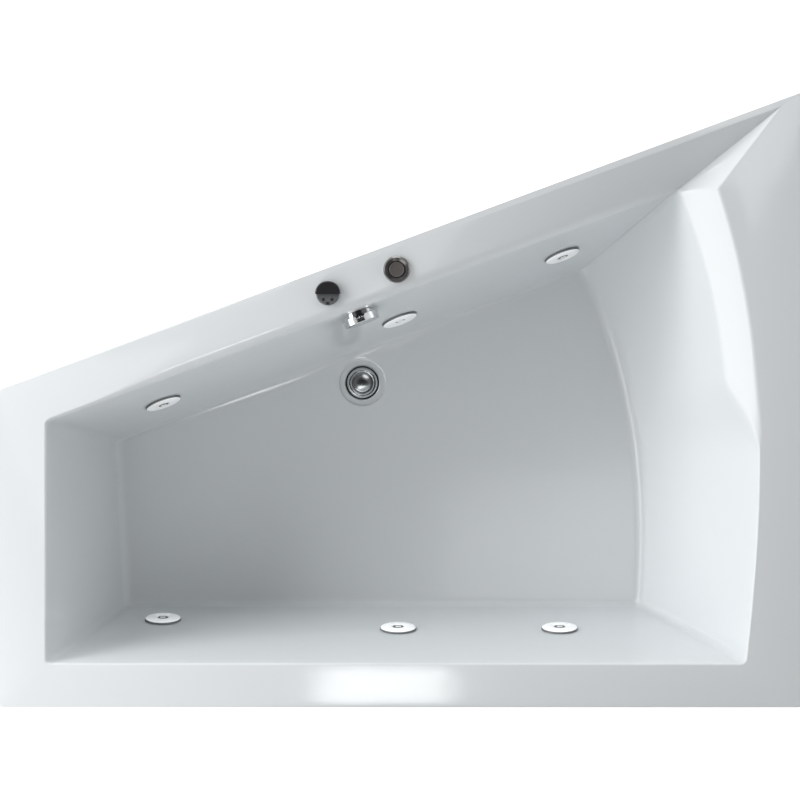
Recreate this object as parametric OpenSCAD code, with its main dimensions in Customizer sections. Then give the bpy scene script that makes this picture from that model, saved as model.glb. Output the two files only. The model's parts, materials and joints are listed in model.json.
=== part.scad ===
// Asymmetric jetted bath. X runs along the straight front side from the narrow end to the wide end,
// Y runs from the front side to the slanted back side, and Z is up from the floor under the feet.

/* [Bath] */
// Length of the straight front side
bath_l = 1700; // [1695:1:1705]
// Width across the wide end
bath_w = 1300; // [1295:1:1305]
// Width across the narrow end
end_w = 670; // [666:1:674]
// Height of the rim above the floor
rim_h = 600; // [596:1:604]
// Depth from the rim to the basin floor
basin_d = 440; // [436:1:444]
// Thickness of the acrylic with its glass-fibre backing
shell_t = 6; // [5.5:0.1:6.5]
// Height of the turned-down outer lip
lip_h = 38; // [30:1:50]

/* [Rim] */
// Width of the rim at the narrow end
rim_end = 103; // [99:1:107]
// Width of the rim along the front side
rim_front = 93; // [89:1:97]
// Width of the ledge along the slanted side
ledge_w = 97; // [95:1:99]
// Width of the level strip left outside the sunk ledge
strip_w = 13; // [11:1:15]
// Depth of the lowest corner of the ledge
ledge_d = 60; // [50:1:66]
// Bulge of the curved rim at the wide end
rim_bow = 56.6; // [54:0.1:59]

/* [Fittings] */
// Radius of the round jet faces
face_r = 40; // [39.5:0.1:40.5]
// Radius of the swivelling jet balls
ball_r = 14.5; // [14.3:0.1:14.6]
// Radius of the waste flange
waste_r = 40; // [39:0.5:41]
// Radius of the overflow knob
knob_r = 39; // [38.5:0.1:39.5]
// Travel of the waste plug
plug_lift = 10; // [6:1:12]
// Travel of the on/off button
button_travel = 4; // [2:0.5:4]

/* [Frame] */
// Side of the square steel rails
rail_s = 30; // [28:1:30]
// Radius of the threaded foot rods
rod_r = 6; // [5.5:0.1:6]
// Radius of the foot pads
pad_r = 25; // [20:1:30]

/* [Hidden] */

$fn = 48;
half_l = bath_l / 2;
half_w = bath_w / 2;
back_y = end_w - half_w;
slant_a = atan2(bath_w - end_w, bath_l);
floor_z = rim_h - basin_d;
gap = 0.3;

// Plain vector helpers
function unit(v) = v / norm(v);
function mix(a, b, t) = a + (b - a) * t;
function clamp(x) = min(1, max(0, x));
function smooth(x) = let (c = clamp(x)) c * c * (3 - 2 * c);
function flat(p) = [p.x, p.y];
function lift(p, z) = [p.x, p.y, z];
function bend(a, b, c, t) = mix(mix(a, b, t), mix(b, c, t), t);

// Plan point u along the slanted side from the narrow end and v in from its edge
function slant(u, v) = [-half_l + u * cos(slant_a) + v * sin(slant_a),
    back_y + u * sin(slant_a) - v * cos(slant_a)];
function slant3(u, v, z) = lift(slant(u, v), z);
// Plan point at a given x on the line v in from the slanted side
function slant_at(x, v) = [x, back_y + (x + half_l) * tan(slant_a) - v / cos(slant_a)];
function along(p) = (p.x + half_l) * cos(slant_a) + (p.y - back_y) * sin(slant_a);

// Places in plan: the curved rim's ends, the ledge's low corner, the tip and the floor's corners
front_y = -half_w + rim_front;
end_x = -half_l + rim_end;
wide_x = 729.6;
neck_x = 671.3;
neck_y = 445;
neck_w = 79.6;
tip_x = 804;
land = 9;
wide_land = 5;
ledge_more = 3.6;
foot_v = 182;
foot_front_y = -461;
foot_end_x = -634;
foot_end_front_x = -613;
foot_wide_x = 534.5;
foot_neck_x = 411;
foot_bow = 52.5;

tip = slant_at(tip_x, strip_w + 1);
low_corner = slant_at(neck_x - neck_w, ledge_w + ledge_more);
low_u = along(low_corner);
sink_u = 500;

// Depth of the ledge's inner edge below the rim
function sink(u) = ledge_d * pow(clamp((u - sink_u) / (low_u - sink_u)), 2);
// Curves of the rim and of the floor at the wide end, from the front to the back
function bow(a, b, rise, skew, s) = mix(a, b, s) + 4 * rise * s * (1 - s) * (1 + skew * (2 * s - 1));
function rim_x(s) = bow(wide_x, neck_x, rim_bow, 0.26, s);
// The sloped neck band between the curved rim and the backrest fades out towards the front
band_low_y = -110;
band_full_y = 50;
function band(y) = smooth((y - band_low_y) / (band_full_y - band_low_y));
function band_w(y) = mix(62, neck_w, pow(clamp(y / neck_y), 2));
function band_d(y) = mix(44, ledge_d, pow(clamp(y / neck_y), 2));

// Five outlines: 0 outer edge, 1 rim edge, 2 basin edge, 3 floor edge, 4 inside of the lip.
// Corners run narrow-end back, narrow-end front, wide-end front, wide-end back.
outer = [slant_at(-half_l, 0), [-half_l, -half_w], [half_l, -half_w], [half_l, half_w]];
rim_edge = [slant_at(end_x - land, ledge_w - land), [end_x - land, front_y - land],
    [wide_x + wide_land, front_y - land], tip];
basin_edge = [slant_at(end_x, ledge_w), [end_x, front_y], [wide_x, front_y], low_corner];
floor_edge = [slant_at(foot_end_x, foot_v), [foot_end_front_x, foot_front_y],
    [foot_wide_x, foot_front_y], slant_at(foot_neck_x, foot_v)];
inner_lip = [slant_at(-half_l + shell_t, shell_t), [-half_l + shell_t, -half_w + shell_t],
    [half_l - shell_t, -half_w + shell_t], slant_at(half_l - shell_t, shell_t)];
outlines = [outer, rim_edge, basin_edge, floor_edge, inner_lip];
levels = [rim_h, rim_h, rim_h, floor_z, rim_h - shell_t];
corner_rs = [8, 20, 12, 20, 6];
low_corner_r = 4;

// Wide-end side of an outline
function wide_side(k, s) =
    let (y = mix(front_y, neck_y, s))
    k == 0 || k == 4 ? [outlines[k][2].x, mix(outlines[k][2].y, neck_y + 30, s), levels[k]]
    : k == 1 ? [rim_x(s) + wide_land * (1 - band(y)), y - land * (1 - s), rim_h]
    : k == 2 ? [rim_x(s) - band_w(y) * band(y), y, rim_h - band_d(y) * band(y)]
    : [bow(foot_wide_x, foot_neck_x, foot_bow, 0.15, s),
        mix(foot_front_y, floor_edge[3].y, s), floor_z];

// Slanted side of an outline, from the wide end to the narrow end
function slant_side(k, s) =
    let (u2 = mix(along(basin_edge[3]), along(basin_edge[0]), s))
    let (v2 = mix(ledge_w + ledge_more, ledge_w, s))
    k == 0 || k == 4 ? lift(mix(outlines[k][3], outlines[k][0], s), levels[k])
    : k == 1 ? slant3(mix(u2, u2 + along(tip) - along(basin_edge[3]), pow(1 - s, 6)) - 10 * pow(s, 6),
        mix(mix(strip_w, strip_w + 1, pow(1 - s, 6)), ledge_w - land, 1 - smooth((u2 - 150) / 500)), rim_h)
    : k == 2 ? slant3(u2, v2, rim_h - sink(u2))
    : slant3(u2 - (along(basin_edge[3]) - along(floor_edge[3])) * pow(1 - s, 6)
        + (along(floor_edge[0]) - along(basin_edge[0])) * pow(s, 6), foot_v, floor_z);

// Point on side 0 narrow end, 1 front, 2 wide end, 3 slanted
function side(k, i, s) = i == 2 ? wide_side(k, s)
    : i == 3 ? slant_side(k, s)
    : lift(mix(outlines[k][i], outlines[k][i + 1], s), levels[k]);
side_ls = [560, 1400, 950, 1350];
// The same, held back from the corners by the corner radius
function trimmed(k, i, s) =
    let (cut = corner_rs[k] / side_ls[i])
    let (last = k == 2 && i == 2 ? 1 - low_corner_r / side_ls[i] : k != 3 && i == 2 ? 1 : 1 - cut)
    let (first = k == 1 && i == 3 ? 0.002 : k == 2 && i == 3 ? low_corner_r / side_ls[i] : cut)
    side(k, i, mix(first, last, s));

// Rounded corner after side i. The back corner at the wide end also holds the triangular wall.
tri_share = 5 / 8;
function corner(k, i, s) =
    let (a = trimmed(k, i, 1), c = trimmed(k, (i + 1) % 4, 0))
    let (b = k == 2 && i == 2 ? lift(low_corner, rim_h - ledge_d) : lift(outlines[k][(i + 1) % 4], levels[k]))
    i == 2 && (k == 0 || k == 4) ?
        let (m = b - [0, corner_rs[k], 0])
        (s < tri_share ? mix(a, m, s / tri_share) : bend(m, b, c, (s - tri_share) / (1 - tri_share)))
    : i == 2 && k == 1 ?
        (s < tri_share ? mix(a, lift(tip, rim_h), s / tri_share)
        : mix(lift(tip, rim_h), c, (s - tri_share) / (1 - tri_share)))
    : bend(a, b, c, s);

// Stations round the bath: each is [side, place along it, 0 for a side or 1 for a corner]
side_ns = [8, 12, 18, 24];
corner_ns = [3, 3, 8, 3];
stations = [for (i = [0:3]) each concat([for (j = [0:side_ns[i] - 1]) [i, j / side_ns[i], 0]],
    [for (j = [0:corner_ns[i] - 1]) [i, j / corner_ns[i], 1]])];
function spot(k, st) = st[2] == 0 ? trimmed(k, st[0], st[1]) : corner(k, st[0], st[1]);

// Walls at the two ends are dished outwards, the front and slanted walls are flat
dish = [6, 0, 14, 0];
function dish_at(st) = st[2] == 0 ? dish[st[0]] : mix(dish[st[0]], dish[(st[0] + 1) % 4], st[1]);

// Rounds the corner b of a path with a curve that starts and ends d away from it
function round_at(a, b, c, d, n) =
    let (p = b + unit(a - b) * min(d, 0.48 * norm(a - b)), q = b + unit(c - b) * min(d, 0.48 * norm(c - b)))
    [for (i = [0:n]) bend(p, b, q, i / n)];

// Waste place, with the dished seat round it
waste = [-84.5, 37.5];
seat_r = 50;
seat_z = floor_z - 7;
fall_z = floor_z - 2;
under_z = floor_z - 8;
function ring_pt(p, r, z) =
    let (w = unit(flat(p) - waste) * r)
    [waste.x + w.x, waste.y + w.y, z];

// How softly the basin's edge is folded: wide along the ledge and where the neck band fades
function fold_r(st, p) =
    let (b = band(p.y))
    7 + (st[0] == 3 ? 14 : st[0] == 2 && st[2] == 0 ? 60 * b * (1 - b) : 0);

// Section through the shell at one station, from the lip's foot over the rim to the waste and back below
function section(st) =
    let (p0 = spot(0, st), p1 = spot(1, st), p2 = spot(2, st), p3 = spot(3, st), lip = spot(4, st))
    let (out = lift(unit(flat(p2) - flat(p3)), 0))
    let (seat_edge = ring_pt(p3, seat_r + 4, fall_z))
    let (inner = mix(p3, seat_edge, min(0.6, 60 / norm(seat_edge - p3))))
    let (wall = [for (t = [0.25, 0.5, 0.75]) mix(p2, p3, t) + out * dish_at(st) * 4 * t * (1 - t)])
    let (foot = round_at(wall[2], p3, inner, 20, 4))
    concat(
        [lift(p0, rim_h - lip_h)],
        round_at(lift(p0, rim_h - lip_h), p0, p1, 5, 3),
        round_at(p0, p1, p2, 5, 3),
        round_at(p1, p2, wall[0], fold_r(st, p1), 3),
        wall,
        foot,
        [inner, seat_edge, ring_pt(inner, seat_r, seat_z)],
        [ring_pt(inner, seat_r + 6, seat_z - shell_t), ring_pt(inner, seat_r + 14, under_z)],
        [lift(inner, under_z)],
        [for (i = [4:-1:0]) foot[i] + out * shell_t * cos(i * 22.5) - [0, 0, (foot[i].z - under_z) * sin(i * 22.5)]],
        [for (i = [2:-1:0]) wall[i] + out * shell_t],
        [p2 + out * shell_t * 1.1 - [0, 0, shell_t * 1.4], p1 - [0, 0, shell_t * 1.4]],
        [lip, lift(lip, rim_h - lip_h)]);
sections = [for (st = stations) section(st)];
st_n = len(sections);
sec_n = len(sections[0]);
top_n = 23;

// Faces of a closed skin whose rows are joined to the next row, with two middle points
function quad(a, b, c, d) = [[a, b, c], [a, c, d]];

module shell_solid() {
    points = concat([for (s = sections) each s], [lift(waste, seat_z), lift(waste, seat_z - shell_t)]);
    top = st_n * sec_n;
    faces = [for (i = [0:st_n - 1]) let (a = i * sec_n, b = ((i + 1) % st_n) * sec_n)
        each concat(
            [for (j = [0:sec_n - 1]) if (j != top_n) let (n = (j + 1) % sec_n)
                each quad(a + n, b + n, b + j, a + j)],
            [[b + top_n, a + top_n, top], [a + top_n + 1, b + top_n + 1, top + 1]])];
    polyhedron(points, faces, convexity = 8);
}

// Places on the walls, given as [point, direction into the basin]
function front_wall(x, d) =
    let (lean = atan((foot_front_y - front_y) / basin_d))
    [[x, mix(front_y, foot_front_y, d / basin_d), rim_h - d], [0, cos(lean), sin(lean)]];
basin_u = [along(basin_edge[0]), along(basin_edge[3])];
function back_wall(u, d) =
    let (top_v = ledge_w + ledge_more * (u - basin_u[0]) / (basin_u[1] - basin_u[0]))
    let (deep = basin_d - sink(u), lean = atan((foot_v - top_v) / deep))
    [slant3(u, mix(top_v, foot_v, (d - sink(u)) / deep), rim_h - d),
        [sin(slant_a) * cos(lean), -cos(slant_a) * cos(lean), sin(lean)]];
function ledge_top(u, v) =
    let (fall = sink(u) / (ledge_w - strip_w), tilt = atan(fall))
    [slant3(u, v, rim_h - fall * (v - strip_w)),
        [sin(slant_a) * sin(tilt), -cos(slant_a) * sin(tilt), cos(tilt)]];

jets = [front_wall(-523, 323), front_wall(-4, 252), front_wall(349, 252),
    back_wall(304, 221), back_wall(1231, 233)];
suction = back_wall(850, 262);
overflow = back_wall(772, 70);
air = ledge_top(725, 51.5);
button = ledge_top(879, 54);

// Puts a fitting in its place: its own Z points into the basin, its own X down the wall
module at(place) {
    n = place[1];
    translate(place[0]) rotate([0, acos(n.z), atan2(n.y, n.x)]) children();
}
function down_dir(place) =
    let (n = place[1], a = atan2(n.y, n.x))
    [n.z * cos(a), n.z * sin(a), -norm(flat(n))];
function side_dir(place) =
    let (n = place[1], a = atan2(n.y, n.x))
    [-sin(a), cos(a), 0];
// World point at own coordinates x, y, z of a place
function own(place, x, y, z) = place[0] + down_dir(place) * x + side_dir(place) * y + place[1] * z;

module ring(r_out, r_in, z0, z1) {
    translate([0, 0, z0]) difference() {
        cylinder(r = r_out, h = z1 - z0);
        translate([0, 0, -1]) cylinder(r = r_in, h = z1 - z0 + 2);
    }
}
module disc(r, z0, z1) {
    translate([0, 0, z0]) cylinder(r = r, h = z1 - z0);
}
// Bar along own Y from y0 to y1
module bar_y(r, y0, y1) {
    translate([0, y0, 0]) rotate([-90, 0, 0]) cylinder(r = r, h = y1 - y0);
}
module box(lo, hi) {
    translate(lo) cube(hi - lo);
}

sleeve_r = 24;
sleeve_bore = 19.5;
hole_r = 25;
pocket_z = -17;

module tub_shell() {
    color("white") difference() {
        shell_solid();
        for (p = concat(jets, [suction, overflow])) at(p) disc(hole_r, -30, 30);
        for (p = [air, button]) at(p) disc(17, -20, 20);
        translate(lift(waste, floor_z)) disc(26, -30, 30);
    }
}

board_t = 13;
board_z = under_z - board_t;
board_v = 208;
module base_board() {
    color("burlywood") difference() {
        translate([0, 0, board_z]) linear_extrude(board_t) polygon([slant_at(-598, board_v), [-598, -440],
            [500, -440], [500, -140], [470, 40], slant_at(392, board_v)]);
        translate(lift(waste, board_z - 1)) cylinder(r = 75, h = board_t + 2);
        translate(lift(waste, board_z - 1)) rotate([0, 0, slant_a]) translate([-70, 0, 0])
            cube([140, 90, board_t + 2]);
        for (p = concat(screw_spots, short_screws)) translate(lift(p, board_z - 1)) cylinder(r = 2.6, h = 11);
    }
}

// Steel frame: two long square tubes and a short one, each with its feet
rail_wall = 2;
rail_top = board_z;
rail_bottom = rail_top - rail_s;
front_rail_y = -380;
back_rail_y = -62;
rail_x0 = -590;
rail_x1 = 815;
short_rail = [330, 185];
short_rail_l = 170;
feet = [[-550, front_rail_y], [795, front_rail_y], [-550, back_rail_y], [795, back_rail_y], short_rail];
screw_spots = [for (x = [-450, -150, 150, 450], y = [front_rail_y, back_rail_y]) [x, y]];
short_screws = [for (x = [-60, 60]) short_rail + [x, 0]];

module tube_rail(x0, x1, y) {
    color("silver") difference() {
        box([x0, y - rail_s / 2, rail_bottom], [x1, y + rail_s / 2, rail_top]);
        box([x0 - 1, y - rail_s / 2 + rail_wall, rail_bottom + rail_wall],
            [x1 + 1, y + rail_s / 2 - rail_wall, rail_top - rail_wall]);
        for (p = feet) if (p.y == y) translate(lift(p, rail_bottom - 1)) cylinder(r = rod_r + gap, h = 5);
        for (p = concat(screw_spots, short_screws)) if (p.y == y) translate(lift(p, rail_bottom - 1))
            cylinder(r = 3.2, h = rail_s + 2);
        for (x = tray_bolts_x) translate([x, y, rail_top - 5]) cylinder(r = 3.2, h = 6);
    }
}
module rail_front() tube_rail(rail_x0, rail_x1, front_rail_y);
module rail_back() tube_rail(rail_x0, rail_x1, back_rail_y);
module rail_short() tube_rail(short_rail.x - short_rail_l / 2, short_rail.x + short_rail_l / 2, short_rail.y);

pad_h = 16;
rod_top = 124;
rod_foot = 7;
module foot_rod(i) {
    color("gainsboro") translate(lift(feet[i], rod_foot)) cylinder(r = rod_r, h = rod_top - rod_foot);
}
module foot_pad(i) {
    color("dimgray") translate(lift(feet[i], 0)) difference() {
        rotate_extrude() polygon([[0, 0], [pad_r, 0], [pad_r, 4], [pad_r - 4, 7], [11, 9], [10, pad_h], [0, pad_h]]);
        translate([0, 0, rod_foot]) cylinder(r = rod_r + 0.05, h = pad_h);
    }
}
module foot_nuts() {
    color("silver") for (p = feet) translate(lift(p, rail_bottom - 9)) difference() {
        cylinder(r = 11, h = 9, $fn = 6);
        translate([0, 0, -1]) cylinder(r = rod_r + 0.06, h = 11);
    }
}

// Screws from below through the rails into the board, and bolts down through the pump tray
tray_bolts_x = [635, 765];
module frame_screws() {
    color("silver") {
        for (p = concat(screw_spots, short_screws)) {
            translate(lift(p, rail_bottom - 4)) cylinder(r = 6, h = 4, $fn = 6);
            translate(lift(p, rail_bottom)) cylinder(r = 2.5, h = rail_s + 9);
        }
        for (x = tray_bolts_x, y = [front_rail_y, back_rail_y]) {
            translate([x, y, rail_top - 8]) cylinder(r = 3, h = 8 + tray_t);
            translate([x, y, rail_top + tray_t]) cylinder(r = 6, h = 4, $fn = 6);
        }
    }
}

// Hydro jets
port_z = -45;
port_r = 16;
port_bore = 12.5;
port_l = 52;
air_x = -31;
air_z = -38;
air_r = 5.5;
air_bore = 3.5;
body_top = -6.8;
body_end = -62;

// Ports is a list of the sides, 1 or -1 along own Y, that carry a water spigot, and vents the same for air
module jet_body(place, ports, vents) {
    at(place) difference() {
        union() {
            disc(27, body_end, body_top);
            disc(34, body_top - 4, body_top);
            translate([0, 0, port_z]) for (s = ports) bar_y(port_r, min(0, s * port_l), max(0, s * port_l));
            translate([air_x, 0, air_z]) for (s = vents) bar_y(air_r, min(s * -9, s * 44), max(s * -9, s * 44));
        }
        disc(sleeve_r + 0.05, -29, 0);
        disc(21, body_end + 4, -20);
        translate([0, 0, port_z]) for (s = ports)
            bar_y(port_bore, min(0, s * (port_l + 1)), max(0, s * (port_l + 1)));
        translate([air_x, 0, air_z]) for (s = vents) bar_y(air_bore, min(0, s * 45), max(0, s * 45));
        translate([air_x - 1, 0, air_z]) rotate([0, 90, 0]) cylinder(r = 2.5, h = 20);
    }
}
jet_ports = [[1, -1], [1, -1], [1, -1], [-1], [1]];
jet_vents = [[1, -1], [1, -1], [1], [1, -1], [-1]];
module jet_bodies() {
    color("gainsboro") for (i = [0:4]) jet_body(jets[i], jet_ports[i], jet_vents[i]);
}

module jet_sleeves() {
    color("white") for (p = concat(jets, [suction])) at(p) difference() {
        union() {
            disc(34, 2.2, 5);
            disc(sleeve_r, -28, 5);
        }
        disc(sleeve_bore, pocket_z, 6);
        disc(15, -29, pocket_z + 1);
    }
}
module jet_gaskets() {
    color("black") for (p = concat(jets, [suction])) at(p) ring(34, sleeve_r + 0.1, 0.5, 2.2);
}

ball_z = -3;
face_profile = [[12.6, 6.2], [14.5, 7.2], [24, 8], [35.5, 6.4], [39, 4.4], [face_r, 2.6], [face_r, 0.9],
    [37.6, 0.9], [37, 3.2], [35, 5.6], [sleeve_bore - gap, 5.6], [sleeve_bore - gap, -15.5], [11.6, -15.5]];
module jet_ring(i) {
    color("silver") at(jets[i]) difference() {
        rotate_extrude($fn = 64) polygon(face_profile);
        translate([0, 0, ball_z]) sphere(r = ball_r + gap);
        for (s = [-1, 1]) translate([15.5, s * 15.5, 6]) cylinder(r = 2, h = 4);
    }
}
fin_l = 12;
module jet_nozzle(i) {
    color("silver") at(jets[i]) difference() {
        union() {
            intersection() {
                translate([0, 0, ball_z]) sphere(r = ball_r);
                disc(ball_r + 1, -14, 6.6);
            }
            for (s = [-1, 1]) translate([s * 6 - 1, -fin_l / 2, 4]) cube([2, fin_l, 5]);
        }
        disc(5, -30, 30);
    }
}

// Suction fitting: the pump's intake, behind a cover like the jet faces
suction_port_z = -38;
suction_port_r = 22;
module suction_body() {
    color("gainsboro") at(suction) difference() {
        union() {
            disc(30, -68, body_top);
            disc(35, body_top - 4, body_top);
            translate([0, 0, suction_port_z]) bar_y(suction_port_r, 0, 62);
        }
        disc(sleeve_r + 0.05, -29, 0);
        disc(25, -64, -28.9);
        translate([0, 0, suction_port_z]) bar_y(18, 0, 63);
    }
}
module suction_cover() {
    color("silver") at(suction) difference() {
        union() {
            rotate_extrude($fn = 64) polygon([[0, 4], [12, 4.4], [14.5, 7.2], [24, 8], [35.5, 6.4], [39, 4.4],
                [face_r, 2.6], [face_r, 0.9], [37.6, 0.9], [37, 3.2], [35, 5.6], [sleeve_bore - gap, 5.6],
                [sleeve_bore - gap, -10], [16, -10], [16, 1], [0, 1]]);
            for (s = [-1, 1]) translate([s * 6 - 1, -fin_l / 2, 4]) cube([2, fin_l, 5]);
        }
        for (a = [0:45:315]) rotate([0, 0, a + 22.5]) translate([10.5, 0, 0]) cylinder(r = 2, h = 20);
    }
}

// Overflow with the turning knob that works the waste plug
elbow_top = -8.6;
module overflow_elbow() {
    color("dimgray") at(overflow) difference() {
        union() {
            disc(27, -52, elbow_top);
            disc(34, elbow_top - 4, elbow_top);
            translate([0, 0, -32]) rotate([0, 90, 0]) cylinder(r = port_r, h = 62);
            translate([0, 0, -40]) bar_y(5, -44, 0);
        }
        disc(sleeve_r + 0.05, -24, 0);
        disc(22, -48, -20);
        translate([0, 0, -32]) rotate([0, 90, 0]) cylinder(r = 13, h = 63);
        translate([0, 0, -40]) bar_y(1.6, -45, 0);
    }
}
spindle_r = 4;
// The face is a wedge, so that the knob stands more upright than the wall
knob_tip_a = 8;
knob_z = 7;
module overflow_face() {
    color("gray") at(overflow) difference() {
        union() {
            difference() {
                rotate([0, knob_tip_a, 0]) disc(33, -8, 6);
                box([-50, -50, -30], [50, 50, 1]);
            }
            disc(sleeve_r, -22, 1.5);
        }
        difference() {
            disc(20, -23, 14);
            box([-20, -3, -8], [20, 3, 0]);
            box([-3, -20, -8], [3, 20, 0]);
            disc(9, -12, 0);
        }
        rotate([0, knob_tip_a, 0]) disc(spindle_r + 0.06, -16, 8);
    }
}
module overflow_knob() {
    color("silver") at(overflow) rotate([0, knob_tip_a, 0]) {
        difference() {
            rotate_extrude($fn = 64) polygon([[0, 24], [30, 23.7], [36, 23], [knob_r, 21], [knob_r, knob_z],
                [knob_r - 2.5, knob_z], [knob_r - 2.5, 19], [30, 20.6], [0, 21]]);
            translate([-knob_r - 5, 0, 0]) rotate([90, 0, 90]) linear_extrude(16)
                polygon([[-12, knob_z - 1], [12, knob_z - 1], [1.5, 19], [-1.5, 19]]);
        }
        disc(spindle_r, -20, 22);
    }
}

// Pop-up waste in the basin floor
module waste_flange() {
    color("silver") translate(lift(waste, 0)) difference() {
        union() {
            rotate_extrude() polygon([[21, seat_z + 0.2], [waste_r, seat_z + 0.2], [waste_r, seat_z + 2],
                [waste_r - 2, seat_z + 3.4], [24, seat_z + 2.6], [21, seat_z + 2]]);
            ring(24.9, 21, 118, seat_z + 1);
            box([-21.5, -2, 124], [21.5, 2, 132]);
            box([-2, -21.5, 124], [2, 21.5, 132]);
            disc(7.5, 122, 134);
        }
        disc(spindle_r + 0.06, 110, 140);
    }
}
module waste_seal() {
    color("black") translate(lift(waste, 0)) ring(37, 26, seat_z - shell_t - 2.2, seat_z - shell_t - 0.2);
}
body_z = seat_z - shell_t - 2.2;
module waste_body() {
    color("dimgray") translate(lift(waste, 0)) difference() {
        union() {
            disc(38, body_z - 4, body_z);
            disc(33, 88, body_z - 2);
            disc(20, 66, 90);
            translate([0, 0, 108]) rotate([0, 0, slant_a]) bar_y(port_r, 0, 64);
            translate([0, 0, 102]) rotate([0, 0, slant_a]) bar_x(5, -52, 0);
        }
        disc(25, 116, body_z + 1);
        disc(28.5, 92, 116.5);
        disc(17, 60, 93);
        translate([0, 0, 108]) rotate([0, 0, slant_a]) bar_y(13, 20, 65);
        translate([0, 0, 102]) rotate([0, 0, slant_a]) bar_x(1.6, -53, -20);
    }
}
module bar_x(r, x0, x1) {
    translate([x0, 0, 0]) rotate([0, 90, 0]) cylinder(r = r, h = x1 - x0);
}
module waste_plug() {
    color("silver") translate(lift(waste, 0)) {
        rotate_extrude($fn = 64) translate([0, seat_z]) polygon([[0, 3.8], [20, 3.8], [20, 3], [20.6, 3],
            [24, 3.8], [33, 4.4], [34, 6], [33, 7.8], [31, 9.1], [28.3, 9.6], [25.6, 9.1], [23.6, 7.8],
            [22.6, 6], [21.8, 6], [20.9, 8.9], [20.3, 9.4], [19.5, 9.3], [15, 7.8], [10, 6.6], [5, 5.9], [0, 5.6]]);
        disc(spindle_r, 96, seat_z + 5);
    }
}
outlet_z = 46;
outlet_l = 200;
outlet_push = 140;
module trap() {
    color("white") translate(lift(waste, 0)) difference() {
        union() {
            disc(27, 66, 86);
            disc(32, 20, 70);
            translate([-outlet_l, 0, outlet_z]) bar_x(20, 0, outlet_push);
            translate([-outlet_l, 0, outlet_z]) bar_x(19, outlet_push - 1, outlet_l);
        }
        disc(20.1, 65.9, 87);
        disc(28, 24, 64);
        disc(17, 60, 67);
        translate([-outlet_l - 1, 0, outlet_z]) bar_x(16.6, 0, outlet_l - 20);
    }
}

// Air regulator and on/off button on the ledge
air_knob_r = 26.8;
module air_valve() {
    color("gray") at(air) difference() {
        union() {
            disc(22, 1, 3);
            disc(16.5, -58, 2);
            ring(24, 16.5, -16, -9);
            translate([0, 0, -50]) bar_y(air_r, -40, 0);
            disc(air_r, -86, -57);
        }
        disc(spindle_r + 0.06, -20, 4);
        disc(12, -54, -19.9);
        translate([0, 0, -50]) bar_y(air_bore, -41, 0);
        disc(air_bore, -87, -50);
    }
}
module air_knob() {
    color("dimgray") at(air) rotate([0, 0, -slant_a]) difference() {
        union() {
            difference() {
                rotate_extrude() polygon([[0, 3.5], [air_knob_r - 1, 3.5], [air_knob_r, 4.5], [air_knob_r, 12],
                    [air_knob_r - 2, 14], [0, 14]]);
                box([1, -30, 0], [30, 30, 20]);
            }
            rotate_extrude() polygon([[0, 3.5], [air_knob_r - 2, 3.5], [air_knob_r - 2, 8], [air_knob_r - 4, 9.5],
                [0, 9.5]]);
            disc(spindle_r, -16, 5);
        }
        for (p = [[12.5, -9], [12.5, 9], [20.5, 0]]) translate([p.x, p.y, 6]) cylinder(r = 3.4, h = 10);
    }
}

bezel_r = 28.3;
cap_r = 16;
module button_bezel() {
    color("dimgray") at(button) difference() {
        union() {
            rotate_extrude() polygon([[0, 1], [bezel_r, 1], [bezel_r, 3.2], [bezel_r - 3, 6.8],
                [bezel_r - 3.8, 6.8], [18.4, 4.4], [0, 4.4]]);
            disc(16.5, -44, 2);
            ring(24, 16.5, -16, -9);
            translate([0, 0, -36]) bar_y(2.5, 0, 30);
        }
        disc(cap_r + gap, -4, 10);
        disc(13.5, -40, -3.9);
        translate([0, 0, -36]) bar_y(1.2, 0, 31);
    }
}
module button_cap() {
    color("gray") at(button) rotate_extrude() polygon([[0, 1.2], [cap_r, 1.2], [cap_r, 5.6],
        [cap_r - 0.8, 6.4], [cap_r - 1.8, 6.4], [cap_r - 2.6, 5.6], [0, 5.2]]);
}
module button_bellows() {
    fold_n = 4;
    fold_h = (1.2 + 30) / fold_n;
    color("black") at(button) translate([0, 0, -30]) rotate_extrude() polygon(concat([[0, 0]],
        [for (i = [0:fold_n - 1]) each [[8, i * fold_h], [12, (i + 0.5) * fold_h]]],
        [[8, fold_n * fold_h], [0, fold_n * fold_h]]));
}

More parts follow.
